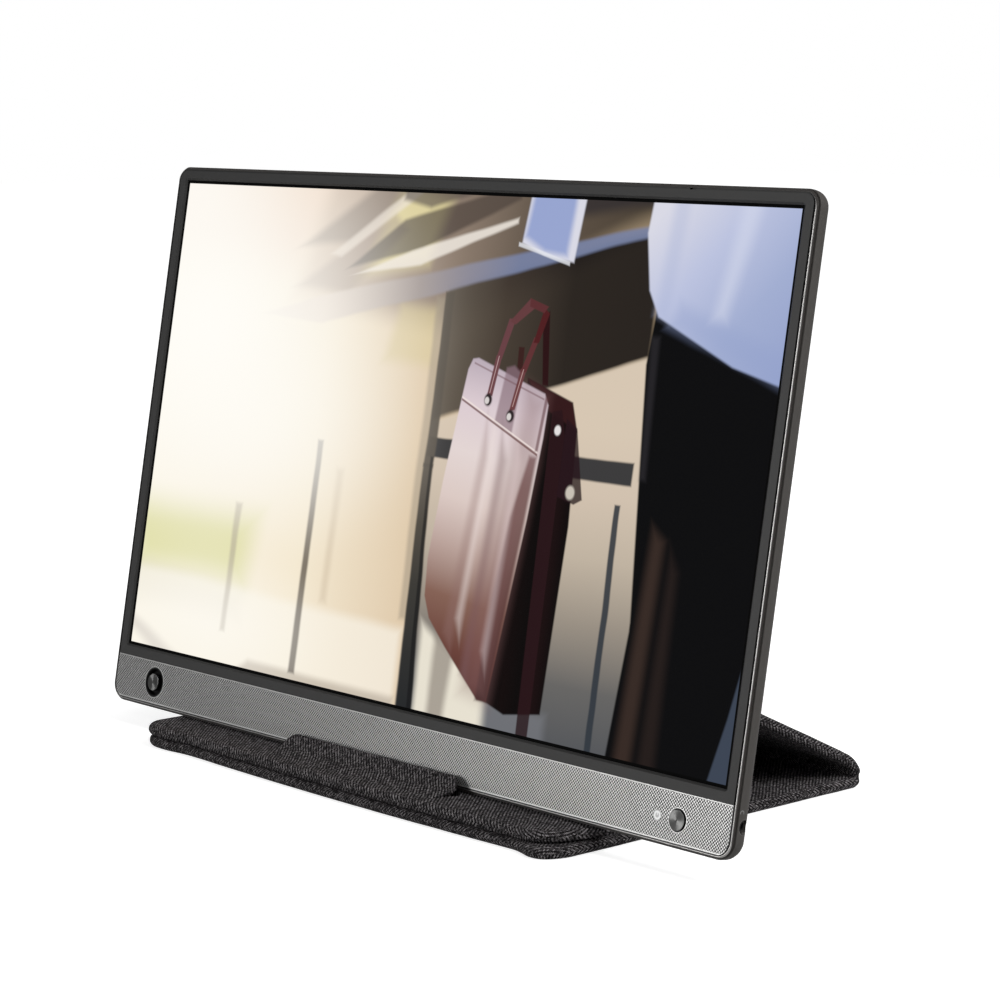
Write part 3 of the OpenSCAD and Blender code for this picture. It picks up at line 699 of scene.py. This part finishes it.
shell_grey = grained("satin grey plastic", (0.045, 0.042, 0.039), (0.062, 0.057, 0.053), 2500, 0.55,
                     depth=0.00002, gloss=0.25)
tree, shader, ground = ground_of(shell_grey)
x, y, z = split(tree, monitor_place(tree))
jack_up, jack_out = -0.1096, -0.0034
hole_shade_radius, sign_radius = 0.0027, 0.0008
off_jack = node(tree, "CombineXYZ", X=sums(tree, "SUBTRACT", y, jack_up),
                Y=sums(tree, "SUBTRACT", z, jack_out)).outputs[0]
far = vectors(tree, "LENGTH", off_jack)
on_right = ranged(tree, x, 0.175, 0.1751)
# painted shade: the shell round the socket's opening is painted near black
painted_hole_shade = ranged(tree, far, hole_shade_radius + 0.0002, hole_shade_radius)
# the printed sign over the socket is a thin open ring
off_sign = vectors(tree, "SUBTRACT", off_jack, (0.0048, 0.002, 0))
ring = line_at(tree, vectors(tree, "LENGTH", off_sign), sign_radius, 0.0002, 0.0001)
open_below = ranged(tree, split(tree, off_sign)[0], -0.0004, -0.0002)
sign = sums(tree, "MULTIPLY", ring, open_below)
# painted highlight: a thin lighter ring on the opening's lip
painted_lip_highlight = line_at(tree, far, hole_shade_radius, 0.00018, 0.00008)
for mark, tone in ((sign, (0.2, 0.2, 0.2)), (painted_hole_shade, (0.004, 0.004, 0.004)), (painted_lip_highlight, (0.09, 0.085, 0.08))):
    ground = mixed(tree, sums(tree, "MULTIPLY", on_right, mark), ground, tone)
feed(shader, Base_Color=ground)
wear(shell_grey, "rear_shell")


# ---- Trim ring and frame ----
# A dark ring runs round the front, proud of a narrow groove. A painted highlight of bright metal
# colour runs along its inner edge and fades out towards the top.

casing_half = (0.17985, 0.1127)
casing_middle = -0.0091
casing_corner = 0.0066


def plan_length(tree, place):
    """Length of a vector seen square on, its depth left out."""
    return vectors(tree, "LENGTH", vectors(tree, "MULTIPLY", place, (1, 1, 0)))


def rim_inset(tree, place):
    """How far a place on the face lies inside the casing's outline."""
    moved = vectors(tree, "SUBTRACT", place, (0, casing_middle, 0))
    beyond = vectors(tree, "SUBTRACT", vectors(tree, "ABSOLUTE", moved),
                     (casing_half[0] - casing_corner, casing_half[1] - casing_corner, 0))
    x, y, _ = split(tree, beyond)
    away = plan_length(tree, vectors(tree, "MAXIMUM", beyond, (0, 0, 0)))
    inside = sums(tree, "MINIMUM", sums(tree, "MAXIMUM", x, y), 0.0)
    return sums(tree, "SUBTRACT", casing_corner, sums(tree, "ADD", away, inside))


highlight_ring, tree, shader = material("dark ring with a painted highlight")
place = monitor_place(tree)
# painted highlight: a band of bright metal colour along the inner edge, fading out towards the top
inner_edge = ranged(tree, rim_inset(tree, place), 0.00084, 0.0009)
below_top = ranged(tree, split(tree, place)[1], 0.1025, 0.094)
painted_edge_highlight = sums(tree, "MULTIPLY", inner_edge, below_top)
feed(shader, Base_Color=mixed(tree, painted_edge_highlight, (0.032, 0.029, 0.027), (0.42, 0.41, 0.4)), Metallic=painted_edge_highlight,
     Roughness=sums(tree, "MULTIPLY_ADD", cloud(tree, place, 400.0, 3.0), 0.1, 0.3), Specular_IOR_Level=0.2)
inner_black = grained("black plastic", (0.008, 0.008, 0.009), (0.014, 0.014, 0.015), 1200, 0.5)
wear(highlight_ring, "trim_ring")
wear(inner_black, "middle_frame")


# ---- Screen border ----
# Matte black moulded plastic with a very fine spark-eroded grain. It sits inside the ring, and
# painted shade along its outer edge stands for the thin dark groove all round.

bezel_black = grained("matte black plastic", (0.011, 0.011, 0.011), (0.028, 0.027, 0.026), 4000, 0.5,
                      depth=0.00003, gloss=0.4)
tree, shader, ground = ground_of(bezel_black)
plate_edge = 0.0018
# painted shade: a thin near-black band along the outer edge
painted_groove_shade = ranged(tree, rim_inset(tree, monitor_place(tree)), plate_edge, plate_edge - 0.0001)
feed(shader, Base_Color=mixed(tree, painted_groove_shade, ground, (0.002, 0.002, 0.002)))
wear(bezel_black, "front_bezel")


# ---- Chin plate ----
# A thin silver metal plate punched all over with fine holes, which let the speakers through. It is
# glued in flush under the screen's border, with openings for the controls.


def lattice_group():
    """Rows of small round dots, each row set half a step from the next: 1 inside a dot."""
    group, given, outlet = group_of("staggered dots", {"Step": 0.0013, "Radius": 0.00038, "Soft": 0.00004},
                                    ("Dot",))
    scale = sums(group, "DIVIDE", 1.0, given["Step"])
    scaled = node(group, "VectorMath", operation="SCALE", i0=given["Place"], Scale=scale).outputs[0]
    found = []
    for shift in (0.0, 0.5):
        cell = vectors(group, "FRACTION", vectors(group, "ADD", scaled, (shift, shift, 0)))
        far = plan_length(group, vectors(group, "SUBTRACT", cell, (0.5, 0.5, 0)))
        found.append(sums(group, "MULTIPLY", far, given["Step"]))
    low = sums(group, "SUBTRACT", given["Radius"], given["Soft"])
    high = sums(group, "ADD", given["Radius"], given["Soft"])
    feed(outlet, Dot=ranged(group, sums(group, "MINIMUM", *found), low, high, 1.0, 0.0,
                            interpolation_type="SMOOTHSTEP"))
    return group


def box_mask(tree, place, x0, x1, y0, y1, soft=0.00005):
    """1 inside a rectangle, 0 outside."""
    sides = []
    for socket, low, high in zip(split(tree, place), (x0, y0), (x1, y1)):
        half = (high - low) / 2
        sides.append(line_at(tree, socket, (low + high) / 2, half + soft, half - soft))
    return sums(tree, "MULTIPLY", *sides)


stick_spot, button_spot, light_spot = (-0.151, -0.1112), (0.1534, -0.1121), (0.1437, -0.1121)
silver_plate, tree, shader = material("punched silver plate")
place = monitor_place(tree)
dots = node(tree, "Group", node_tree=lattice_group(), Place=place).outputs["Dot"]
inset = rim_inset(tree, place)
field = sums(tree, "MULTIPLY", box_mask(tree, place, -0.1785, 0.1785, -0.1205, -0.1029),
             ranged(tree, inset, 0.0022, 0.0023))
painted_gap_shade = ranged(tree, inset, plate_edge, plate_edge - 0.0001)
# no dots are punched near the controls, and painted shade stands for the dark gaps round the stick, the
# button and the plate's edge
for spot, clear in ((stick_spot, 0.0066), (button_spot, 0.0044), (light_spot, 0.0019)):
    far = plan_length(tree, vectors(tree, "SUBTRACT", place, (*spot, 0)))
    field = sums(tree, "MULTIPLY", field, ranged(tree, far, clear - 0.0001, clear))
    if spot != light_spot:
        painted_gap_shade = sums(tree, "MAXIMUM", painted_gap_shade, ranged(tree, far, clear - 0.0003, clear - 0.0004))
dotted = sums(tree, "MULTIPLY", dots, field)
punched = mixed(tree, dotted, (0.6, 0.597, 0.588), (0.003, 0.003, 0.003))
dotted = sums(tree, "MAXIMUM", dotted, painted_gap_shade)
bump = node(tree, "Bump", Strength=0.6, Distance=0.0002, Height=sums(tree, "SUBTRACT", 1.0, dotted))
feed(shader, Base_Color=mixed(tree, painted_gap_shade, punched, (0.002, 0.002, 0.002)),
     Metallic=sums(tree, "MULTIPLY_ADD", dotted, -0.9, 0.9),
     Roughness=sums(tree, "MULTIPLY_ADD", cloud(tree, place, 3500.0), 0.1, 0.28), Normal=bump.outputs[0])
wear(silver_plate, "chin_plate")


# ---- Screen ----
# A matte panel behind glass, lit from behind, inside a narrow unlit border. It shows a soft picture
# of a leather bag hung up in front of a sunlit wall, with a slatted roof, posts and a blue blind.


def linear(code):
    """The shader's colour for a screen colour written as rrggbb."""
    return tuple((int(code[i:i + 2], 16) / 255) ** 2.2 for i in (0, 2, 4))


def ramped(tree, share, stops):
    """A run of colours, each given with its place from 0 to 1."""
    ramp = node(tree, "ValToRGB", Fac=share)
    ends = ramp.color_ramp.elements
    for at, code in stops[1:-1]:
        ends.new(at)
    for end, (at, code) in zip(ends, stops):
        end.color = (*linear(code), 1)
    return ramp.outputs["Color"]


def shaded(tree, place, turn, low, high, *codes):
    """A run of colours laid evenly from low to high millimetres along a direction in degrees."""
    along = vectors(tree, "DOT_PRODUCT", place, (*heading_of(turn) * 1000, 0))
    steps = [(i / (len(codes) - 1), code) for i, code in enumerate(codes)]
    return ramped(tree, ranged(tree, along, low, high), steps)


def plane_mask(tree, place, corners, soft, strength=1.0):
    """1 inside a convex outline given anticlockwise in millimetres, fading over soft millimetres."""
    inside = None
    for (ax, ay), (bx, by) in zip(corners, corners[1:] + corners[:1]):
        length = math.hypot(bx - ax, by - ay)
        nx, ny = -(by - ay) / length, (bx - ax) / length
        far = vectors(tree, "DOT_PRODUCT", place, (nx * 1000, ny * 1000, 0))
        far = sums(tree, "SUBTRACT", far, nx * ax + ny * ay)
        inside = far if inside is None else sums(tree, "MINIMUM", inside, far)
    return ranged(tree, inside, -soft, soft, 0.0, strength, interpolation_type="SMOOTHSTEP")


def laid(tree, under, place, shapes):
    """Paints shapes over a picture, each given as its soft edge, strength, colour and corners."""
    for soft, strength, tone, *numbers in shapes:
        corners = list(zip(numbers[::2], numbers[1::2]))
        tone = linear(tone) if isinstance(tone, str) else tone
        under = mixed(tree, plane_mask(tree, place, corners, soft, strength), under, tone)
    return under


def glow(tree, under, place, x, y, wide, high, strength, tone):
    """Paints a soft oval of light over a picture."""
    moved = vectors(tree, "SUBTRACT", place, (x / 1000, y / 1000, 0))
    far = vectors(tree, "LENGTH", vectors(tree, "MULTIPLY", moved, (1000 / wide, 1000 / high, 0)))
    share = ranged(tree, far, 0.0, 1.0, strength, 0.0, interpolation_type="SMOOTHSTEP")
    return mixed(tree, share, under, tone)


lit_screen, tree, shader = material("lit screen")
place = monitor_place(tree)
sway = node(tree, "TexNoise", Vector=place, Scale=14.0, Detail=3.0).outputs["Color"]
bent = vectors(tree, "MULTIPLY_ADD", sway, (0.004, 0.004, 0), place)
picture = ramped(tree, ranged(tree, split(tree, place)[0], -0.172, 0.172),
                 [(0.0, "faf3e2"), (0.3, "f4e8d0"), (0.5, "dec8aa"), (0.72, "c4ac8a"), (1.0, "968670")])

# behind: a hazy street, with a roof of slats falling towards the light on the left
roof = shaded(tree, bent, 0, -90, 110, "e2ceba", "968478", "4c423c", "1e1b1c")
dark_end = shaded(tree, bent, 0, 0, 70, "645c52", "3e3630", "181517")
beam = shaded(tree, bent, 0, -70, 40, "e2d4c8", "a09694", "7680a0")
wall = shaded(tree, bent, 90, -97, 40, "4e5258", "626262", "968d82", "beb1a0", "d0c0ae", "d6c6b2", "d6c6b2")
post = shaded(tree, bent, 90, -97, 0, "26282a", "383734", "5c554c")
picture = laid(tree, picture, bent, [
    (14, 0.5, "e8c8ba", -180, 70, -90, 66, -40, 110, -180, 110),
    (10, 0.75, "d6d68c", -172, -62, -100, -62, -96, -34, -180, -34),
    (6, 0.4, "c4bca0", -180, -76, -100, -76, -100, -66, -180, -60),
    (8, 0.9, roof, -90, 56, 2, 50, 112, 94, 112, 110, -74, 110),
    (5, 0.8, "e8dca2", -50, 66, -12, 72, -2, 97, -30, 104),
    (4, 0.6, "d6c694", -30, 34, -2, 34, -2, 56, -24, 56),
    (2.5, 0.5, "98867c", -88, 60, -56, 58, -26, 84, -34, 90),
    (1.2, 0.8, "504640", -58, 68, -16, 77, 36, 98, 36, 104, -28, 88),
    (0.9, 0.8, "f0e8de", -52, 66, -16, 71, 36, 89, 36, 91, -22, 76),
    (2.5, 0.6, "786a60", -88, 76, -60, 78, -8, 110, -30, 110),
    (1.2, 0.6, "eee4d8", -70, 73, -64, 72, -6, 107, -14, 108),
    (1.5, 0.8, "605650", -30, 96, -14, 93, 36, 106, 36, 110, -30, 110),
    (1.6, 0.97, dark_end, 2, 14, 61, 29, 112, 44, 112, 90, 2, 64),
    (1.0, 0.9, beam, -108, 48, -70, 46, 40, 71, 112, 88, 112, 91.5, 30, 76, -80, 55),
    (3, 0.85, "343032", 62, 92, 110, 98, 110, 110, 62, 110),
    # sunlit wall on the right, a rail across it and the foot of a post
    (1.2, 0.97, wall, 2, -110, 122, -110, 122, 47, 2, 13),
    (2.5, 0.9, "f0e9d8", 12, -110, 52, -110, 52, -84, 12, -62),
    (2.5, 0.8, "92897f", 20, -102, 29, -102, 31, -72, 20, -64),
    (3, 0.6, "787a80", 50, -110, 84, -110, 84, -86, 50, -84),
    (0.6, 0.95, "22272e", 2, 0, 112, -1, 112, 7, 2, 7.5),
    (0.5, 0.95, "343a41", 105.6, -110, 108.8, -110, 108.4, -8, 105.6, -8),
    # ground, posts and their shade
    (3, 0.6, "fbf6ea", -180, -110, 0, -110, 0, -66, -180, -62),
    (2, 0.75, "baae9e", -120, -110, 0, -110, 0, -92, -90, -91),
    (3, 0.45, "b0a6a0", -140, -104, -128, -100, -174, -82, -180, -84),
    (1.2, 0.6, "968a74", -111, -82, -108, -82, -107, -30, -111, -30),
    (0.9, 0.85, "544a40", -64, -92, -60, -92, -60.4, 0, -63.6, 0),
    (2, 0.3, "b4a086", -50, -62, -46, -62, -46, -10, -50, -10),
    (1.5, 0.6, "a09482", -2, -62, 2, -62, 2, 60, -4, 60),
    (0.8, 0.97, "5c554c", 1, -4, 6.5, -4, 6, 62, 1, 62),
    (0.8, 0.97, post, 2.4, -110, 12, -110, 6.5, -3, 1, -3),
    (0.6, 0.7, "1a1a1c", 9, -110, 12, -110, 6, 0, 4.5, 0),
])
for glare in ((-150, 40, 170, 110, 1.0), (-110, 0, 130, 60, 0.6), (-172, 97, 90, 70, 0.7),
              (-120, -80, 90, 40, 0.5)):
    picture = glow(tree, picture, place, *glare, (1, 0.98, 0.93))

# in front: a leather bag hanging from a strap, its face catching the light
leather = shaded(tree, place, 84, -86, 40, "482624", "6a443c", "846256", "b8a098",
                 "dac8c2", "e2d4d2", "dacad0", "b4a6b2")
tanned = shaded(tree, place, 90, -86, 30, "2c1818", "462420", "603c38", "967a7e")
gusset = shaded(tree, place, 0, 50, 82, "0a0809", "160d0d", "0f0a0a", "1e1112", "0a0809")
picture = laid(tree, picture, place, [
    (0.5, 1.0, gusset, 46, -87, 60, -91, 79, -88, 81, -20, 79, 14, 75, 24, 50, 31),
    (0.6, 0.8, "3a1e20", 58, 22, 79, 14, 75, 24, 50, 31),
    (0.4, 0.9, "2c181c", 68, -110, 74, -110, 73, 12, 70, 21, 65, 20),
    (0.4, 0.9, "2a181e", 73, -10, 82, -12, 86, -10, 79, 15, 73, 18),
    (0.4, 1.0, "2e1618", 58, 29, 61, 29, 57, 56, 54, 52),
    (0.4, 1.0, "3c2422", 43.5, 33, 46.5, 33, 46, 42, 43, 42),
    (0.5, 1.0, leather, 9, -54, 13, -62, 24, -71.5, 36, -81, 45, -88, 50, -88, 59, -20, 62, 10, 62.5, 22,
     60, 26, 22, 36.5, 19, 36, 17, 32, 11, -10, 8, -40),
    (1.2, 0.85, tanned, 44, -88, 50, -88, 58, -20, 60, 3, 56, 3, 50, -20, 46, -50),
    (6, 0.45, "805c5c", 36, -86, 50, -88, 60, 0, 61, 24, 50, 28, 42, -20),
    (2.2, 0.35, "8c6c68", 22, -66, 27, -72, 34, 0, 31, 14),
    (2.2, 0.45, "78585a", 34, -80, 38, -82, 44, 0, 40, 10),
    (2, 0.35, "f0e2de", 28, -60, 31, -66, 37, 10, 35, 14),
    (2, 0.3, "e2cece", 44, -70, 47, -76, 52, 0, 49, 8),
    (0.8, 0.7, "846a74", 35, 14, 45, 10, 47, 32, 42, 35, 38, 34),
    (0.25, 0.8, "68423e", 15.6, 20.2, 60, 3.2, 60, 4.1, 15.6, 21),
    (0.25, 0.8, "f0e2dc", 15.6, 21.2, 60, 4.3, 60, 4.9, 15.6, 21.8),
    (0.5, 0.7, "60383c", 58.5, 5, 60, 5, 62, 24, 60.5, 25),
    (0.25, 0.6, "785a60", 20, 34.2, 60, 23.6, 60, 24.3, 20, 34.9),
    # two pairs of handle straps, the near pair rising from steel rings
    (0.35, 1.0, "6c464a", 29, 23, 32, 23, 34.5, 38, 31.5, 38),
    (0.35, 1.0, "684246", 31.5, 37, 34.5, 37, 39.5, 52, 36, 52),
    (0.35, 1.0, "6c4244", 42, 18, 45, 19, 48.5, 34, 45.5, 34),
    (0.35, 1.0, "603436", 45.5, 33, 48.5, 33, 53, 45, 50.5, 46),
    (0.35, 1.0, "502224", 50.4, 44, 53.2, 44, 57, 55, 54, 57),
    (0.35, 1.0, "643e40", 36.4, 51, 39.6, 50, 49.5, 57, 46, 60),
    (0.35, 1.0, "5c3234", 46, 57, 54, 55, 56, 57.5, 46, 60),
    (0.15, 0.7, "ceb0b0", 30.2, 24, 30.6, 24, 33.2, 38, 32.8, 38),
    (0.15, 0.7, "ceaca8", 43.4, 20, 43.8, 20, 47.2, 34, 46.8, 34),
])
for x, y, size, code in ((30, 21.5, 2.8, "322a2c"), (43, 16.5, 2.8, "322a2c"), (29.4, 21.2, 1.6, "d6d0ce"),
                         (42.4, 16.2, 1.6, "d6d0ce"), (69, 13.5, 2.2, "e2dede"), (79.5, -8, 3.0, "c6beb2")):
    picture = glow(tree, picture, place, x, y, size, size * 1.1, 3.0, linear(code))

# a dark pillar and a pale blue blind hanging in front of it
blind = shaded(tree, bent, 135, -95, -10, "94a1ca", "a0acd0", "bac1de", "d8d8e4")
picture = laid(tree, picture, place, [
    (0.8, 1.0, "3e4654", 150, -110, 182, -110, 182, 0, 168, -40),
    (0.6, 1.0, "0e0e10", 118, -52, 174, -52, 178, 20, 180, 60, 111, 62, 109, 40),
    (0.6, 1.0, "0e0e10", 113, -110, 160, -110, 169, -75, 174, -50, 118, -50),
    (3, 0.7, "42342e", 118, -106, 126, -106, 129, -20, 123, -16),
    (3, 0.55, "322825", 130, -106, 138, -106, 137, -30, 133, -24),
    (1.5, 0.5, "343236", 113, 0, 116, 0, 114, 50, 110, 50),
    (0.7, 1.0, blind, 104, 110, 101.5, 86, 106, 66, 112, 57, 150, 42, 182, 35, 182, 110),
    (0.7, 1.0, blind, 41, 110, 37.5, 80, 50, 76, 66, 74, 70, 110),
])
picture = laid(tree, picture, bent, [
    (2, 0.9, "8c9ccc", 44, 110, 41, 84, 52, 79, 64, 78, 66, 110),
    (0.4, 0.7, "e8eaf0", 38, 80.5, 66, 74.5, 66, 76, 38, 82),
    (4, 0.4, "92a0ca", 120, 56, 182, 38, 182, 48, 124, 64),
    (4, 0.4, "dce0f0", 140, 60, 146, 60, 160, 110, 150, 110),
    (3, 0.35, "a8b2d4", 112, 60, 118, 58, 124, 110, 116, 110),
])
lit_area = box_mask(tree, place, -0.1721, 0.1721, -0.0968, 0.0968)
picture = mixed(tree, lit_area, (0, 0, 0), picture)
feed(shader, Emission_Color=picture, Emission_Strength=1.0, Base_Color=(0.002, 0.002, 0.002),
     Roughness=sums(tree, "MULTIPLY_ADD", cloud(tree, place, 5000.0), 0.1, 0.5), Specular_IOR_Level=0.02)
wear(lit_screen, "lcd_glass")


# ---- Controls on the chin ----
# A small stick on the left that tilts and clicks, and on the right a status light and the power
# button. The button and the stick's cap are faced on a lathe, so their shine opens like two fans.

chin_out = 0.001


def chin_point(spot):
    """A point on the face of the chin, from its place across and up from the middle of the glass."""
    return screen_mid + Vector((spot[0], 0, 0)) + screen_up * spot[1] + screen_out * chin_out


def turned(name, profile, place, rounds=96):
    """A round part made by turning a profile of (radius, height) about the way out of the chin, with
    its sharp corners broken."""
    mesh = bmesh.new()
    rings = []
    for radius, height in profile:
        turns = [2 * math.pi * i / rounds for i in range(rounds if radius else 1)]
        rings.append([mesh.verts.new((radius * math.cos(t), radius * math.sin(t), height)) for t in turns])
    for a, b in zip(rings, rings[1:]):
        for i in range(rounds):
            j = (i + 1) % rounds
            ring = [a[i % len(a)], a[j % len(a)], b[j % len(b)], b[i % len(b)]]
            mesh.faces.new(list(dict.fromkeys(ring))).smooth = True
    piece = finished(name, mesh)
    piece.matrix_world = Matrix.Translation(place) @ screen_out.to_track_quat("Z", "Y").to_matrix().to_4x4()
    step = piece.modifiers.new("soft corners", "BEVEL")
    step.width = 0.00012
    step.segments = 2
    step.limit_method = "ANGLE"
    step.angle_limit = math.radians(35)
    keep_modifiers(piece)
    for face in piece.data.polygons:
        face.use_smooth = abs(face.normal.z) < 0.99
    return piece


def spun_metal(name, tone, rings, size):
    """Metal faced on a lathe: fine rings round the middle, and a shine that crosses them. Painted shade
    marks a dimple in the middle, and the rim beyond size is painted black as the shade of the gap round it."""
    made, tree, shader = material(name)
    far = plan_length(tree, node(tree, "TexCoord").outputs["Object"])
    cuts = cloud(tree, node(tree, "CombineXYZ", X=far).outputs[0], rings, 3.0)
    # painted shade: a black dot in the middle for the dimple and a black rim for the gap round the cap
    ends = sums(tree, "MAXIMUM", ranged(tree, far, size, size + 0.0001), ranged(tree, far, 0.0003, 0.00015))
    faced = mixed(tree, cuts, [c * 0.7 for c in tone], [c * 1.3 for c in tone])
    turn = node(tree, "Tangent", direction_type="RADIAL", axis="Z")
    bump = node(tree, "Bump", Strength=0.3, Distance=0.00002, Height=cuts)
    feed(shader, Base_Color=mixed(tree, ends, faced, (0.002, 0.002, 0.002)), Metallic=1.0, Roughness=0.3,
         Anisotropic=0.95, Tangent=turn.outputs[0], Normal=bump.outputs[0])
    return made


dark_spun = spun_metal("dark spun metal", (0.13, 0.13, 0.128), 9000, 0.0036)
power = turned("power_key_cap", [(0, 0.0006), (0.0036, 0.0006), (0.00372, 0.00045), (0.00375, 0.0),
                                 (0.00375, -0.0026), (0, -0.0026)], chin_point(button_spot))
dress(power, dark_spun)
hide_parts("power_button")
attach(power, "power_key")

cap = turned("stick_head", [(0, 0.0008), (0.0034, 0.0008), (0.0036, 0.0006), (0.0036, -0.0007),
                            (0.0034, -0.00085), (0.00085, -0.00085), (0.00085, -0.0056), (0, -0.0056)],
             chin_point(stick_spot))
dress(cap, dark_spun)
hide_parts("stick_cap")
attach(cap, "stick_head")

wear(grained("deep black plastic", (0.002, 0.002, 0.002), (0.004, 0.004, 0.004), 1200, 0.6, gloss=0.1),
     "stick_well", "stick_gimbal", "stick_rocker")

lit_white, tree, shader = material("lit white plastic")
off_light = vectors(tree, "SUBTRACT", monitor_place(tree), (*light_spot, 0))
ring = line_at(tree, plan_length(tree, off_light), 0.0012, 0.0005, 0.0002)
bar = box_mask(tree, off_light, -0.0002, 0.0002, 0.0, 0.0014, 0.0001)
lit = sums(tree, "MAXIMUM", ring, bar)
milk = sums(tree, "MULTIPLY", sums(tree, "MULTIPLY_ADD", lit, 0.6, 0.3),
            sums(tree, "MULTIPLY_ADD", cloud(tree, off_light, 3000.0), 0.1, 0.9))
feed(shader, Emission_Color=milk, Emission_Strength=0.66, Base_Color=(0.3, 0.3, 0.3))
wear(lit_white, "status_light")


# ---- Headphone socket ----
# A round opening low on the right side, with a plated, sprung sleeve just inside it. The black
# moulded body behind it is soldered to the side board.

wear(inner_black, "audio_jack")
wear(grained("plated sleeve", (0.1, 0.095, 0.09), (0.18, 0.17, 0.16), 800, 0.4, metal=1.0), "jack_ring")


# ---- Works inside the monitor ----
# The screen's acrylic light guide and metal tray, lacquered boards, sockets, speakers and film
# cables, all screwed or taped down inside the casing.

wear(grained("clear acrylic", (0.7, 0.72, 0.74), (0.8, 0.82, 0.84), 200, 0.15), "light_guide")
wear(grained("brushed sheet", (0.5, 0.5, 0.5), (0.62, 0.62, 0.62), 300, 0.35, 1.0, (1, 12, 12)),
     "reflector_tray")
wear(grained("board lacquer", (0.01, 0.05, 0.03), (0.015, 0.08, 0.045), 700, 0.35),
     "backlight_strip", "timing_board", "main_board", "side_board", "stick_board")
wear(grained("amber film", (0.25, 0.11, 0.02), (0.32, 0.15, 0.03), 500, 0.4), "panel_flex", "panel_cable")
wear(grained("tinned steel", (0.5, 0.5, 0.49), (0.64, 0.64, 0.62), 400, 0.3, metal=1.0),
     "shield_can", "usb_c_socket", "hdmi_socket", "board_screws")
wear(inner_black, "speaker_left", "speaker_right", "power_switch", "stick_switch")


# ---- Table, light and camera ----
# A plain white table without edges, and four soft lamps: a broad one overhead, a low one at the
# front left, one at the front right and a strong one on the right. The camera is low on the right.

table_half = 6
table = prism("table_top", [(-table_half, -table_half), (table_half, -table_half), (table_half, table_half),
                            (-table_half, table_half)], -0.02, 0.0)
white_top, tree, shader = material("white table")
place = node(tree, "TexCoord").outputs["Object"]
# seen by the camera it brightens into the white behind it
near_white = ranged(tree, vectors(tree, "LENGTH", place), 0.15, 0.6, 0.76, 1.0)
feed(shader, Base_Color=ranged(tree, cloud(tree, place, 40.0), 0.0, 1.0, 0.56, 0.58), Roughness=0.9,
     Specular_IOR_Level=0.0, Emission_Color=near_white,
     Emission_Strength=node(tree, "LightPath").outputs["Is Camera Ray"])
table.data.materials.append(white_top)

world = bpy.data.worlds.new("studio")
bpy.context.scene.world = world
world.use_nodes = True
tree = world.node_tree
tree.nodes.clear()
ray = node(tree, "LightPath").outputs
seen = sums(tree, "MAXIMUM", ray["Is Camera Ray"], ray["Is Transmission Ray"])
dim = node(tree, "Background", Color=(1, 1, 1), Strength=0.22)
white = node(tree, "Background", Color=(1, 1, 1), Strength=1.0)
blend = node(tree, "MixShader", i0=seen, i1=dim.outputs[0], i2=white.outputs[0])
node(tree, "OutputWorld", Surface=blend.outputs[0])


def softbox(name, place, aim_height, size, watts):
    """A square lamp pointed at a height over the middle of the table."""
    lamp = bpy.data.lights.new(name, "AREA")
    lamp.shape = "RECTANGLE"
    lamp.size, lamp.size_y = size, size
    lamp.energy = watts
    holder = bpy.data.objects.new(name, lamp)
    holder.location = place
    aim = Vector((0, 0, aim_height)) - Vector(place)
    holder.rotation_euler = aim.to_track_quat("-Z", "Y").to_euler()
    bpy.context.scene.collection.objects.link(holder)


softbox("overhead", (0.2, -0.1, 1.6), 0, 1.8, 2.6)
softbox("front_left", (-0.85, -1.5, 0.38), 0.05, 0.55, 7.5)
softbox("front_right", (1.0, -1.2, 0.9), 0.03, 0.6, 5)
softbox("right", (1.3, 0.2, 1.2), 0.02, 0.8, 24)

camera = bpy.data.objects.new("camera", bpy.data.cameras.new("camera"))
camera.location = (0.82738, -0.74746, 0.26494)
camera.rotation_euler = (math.radians(81.92), 0, math.radians(48.02))
camera.data.lens = 104.945
camera.data.sensor_width = 36
bpy.context.scene.collection.objects.link(camera)
bpy.context.scene.camera = camera
bpy.context.scene.view_settings.view_transform = "Standard"
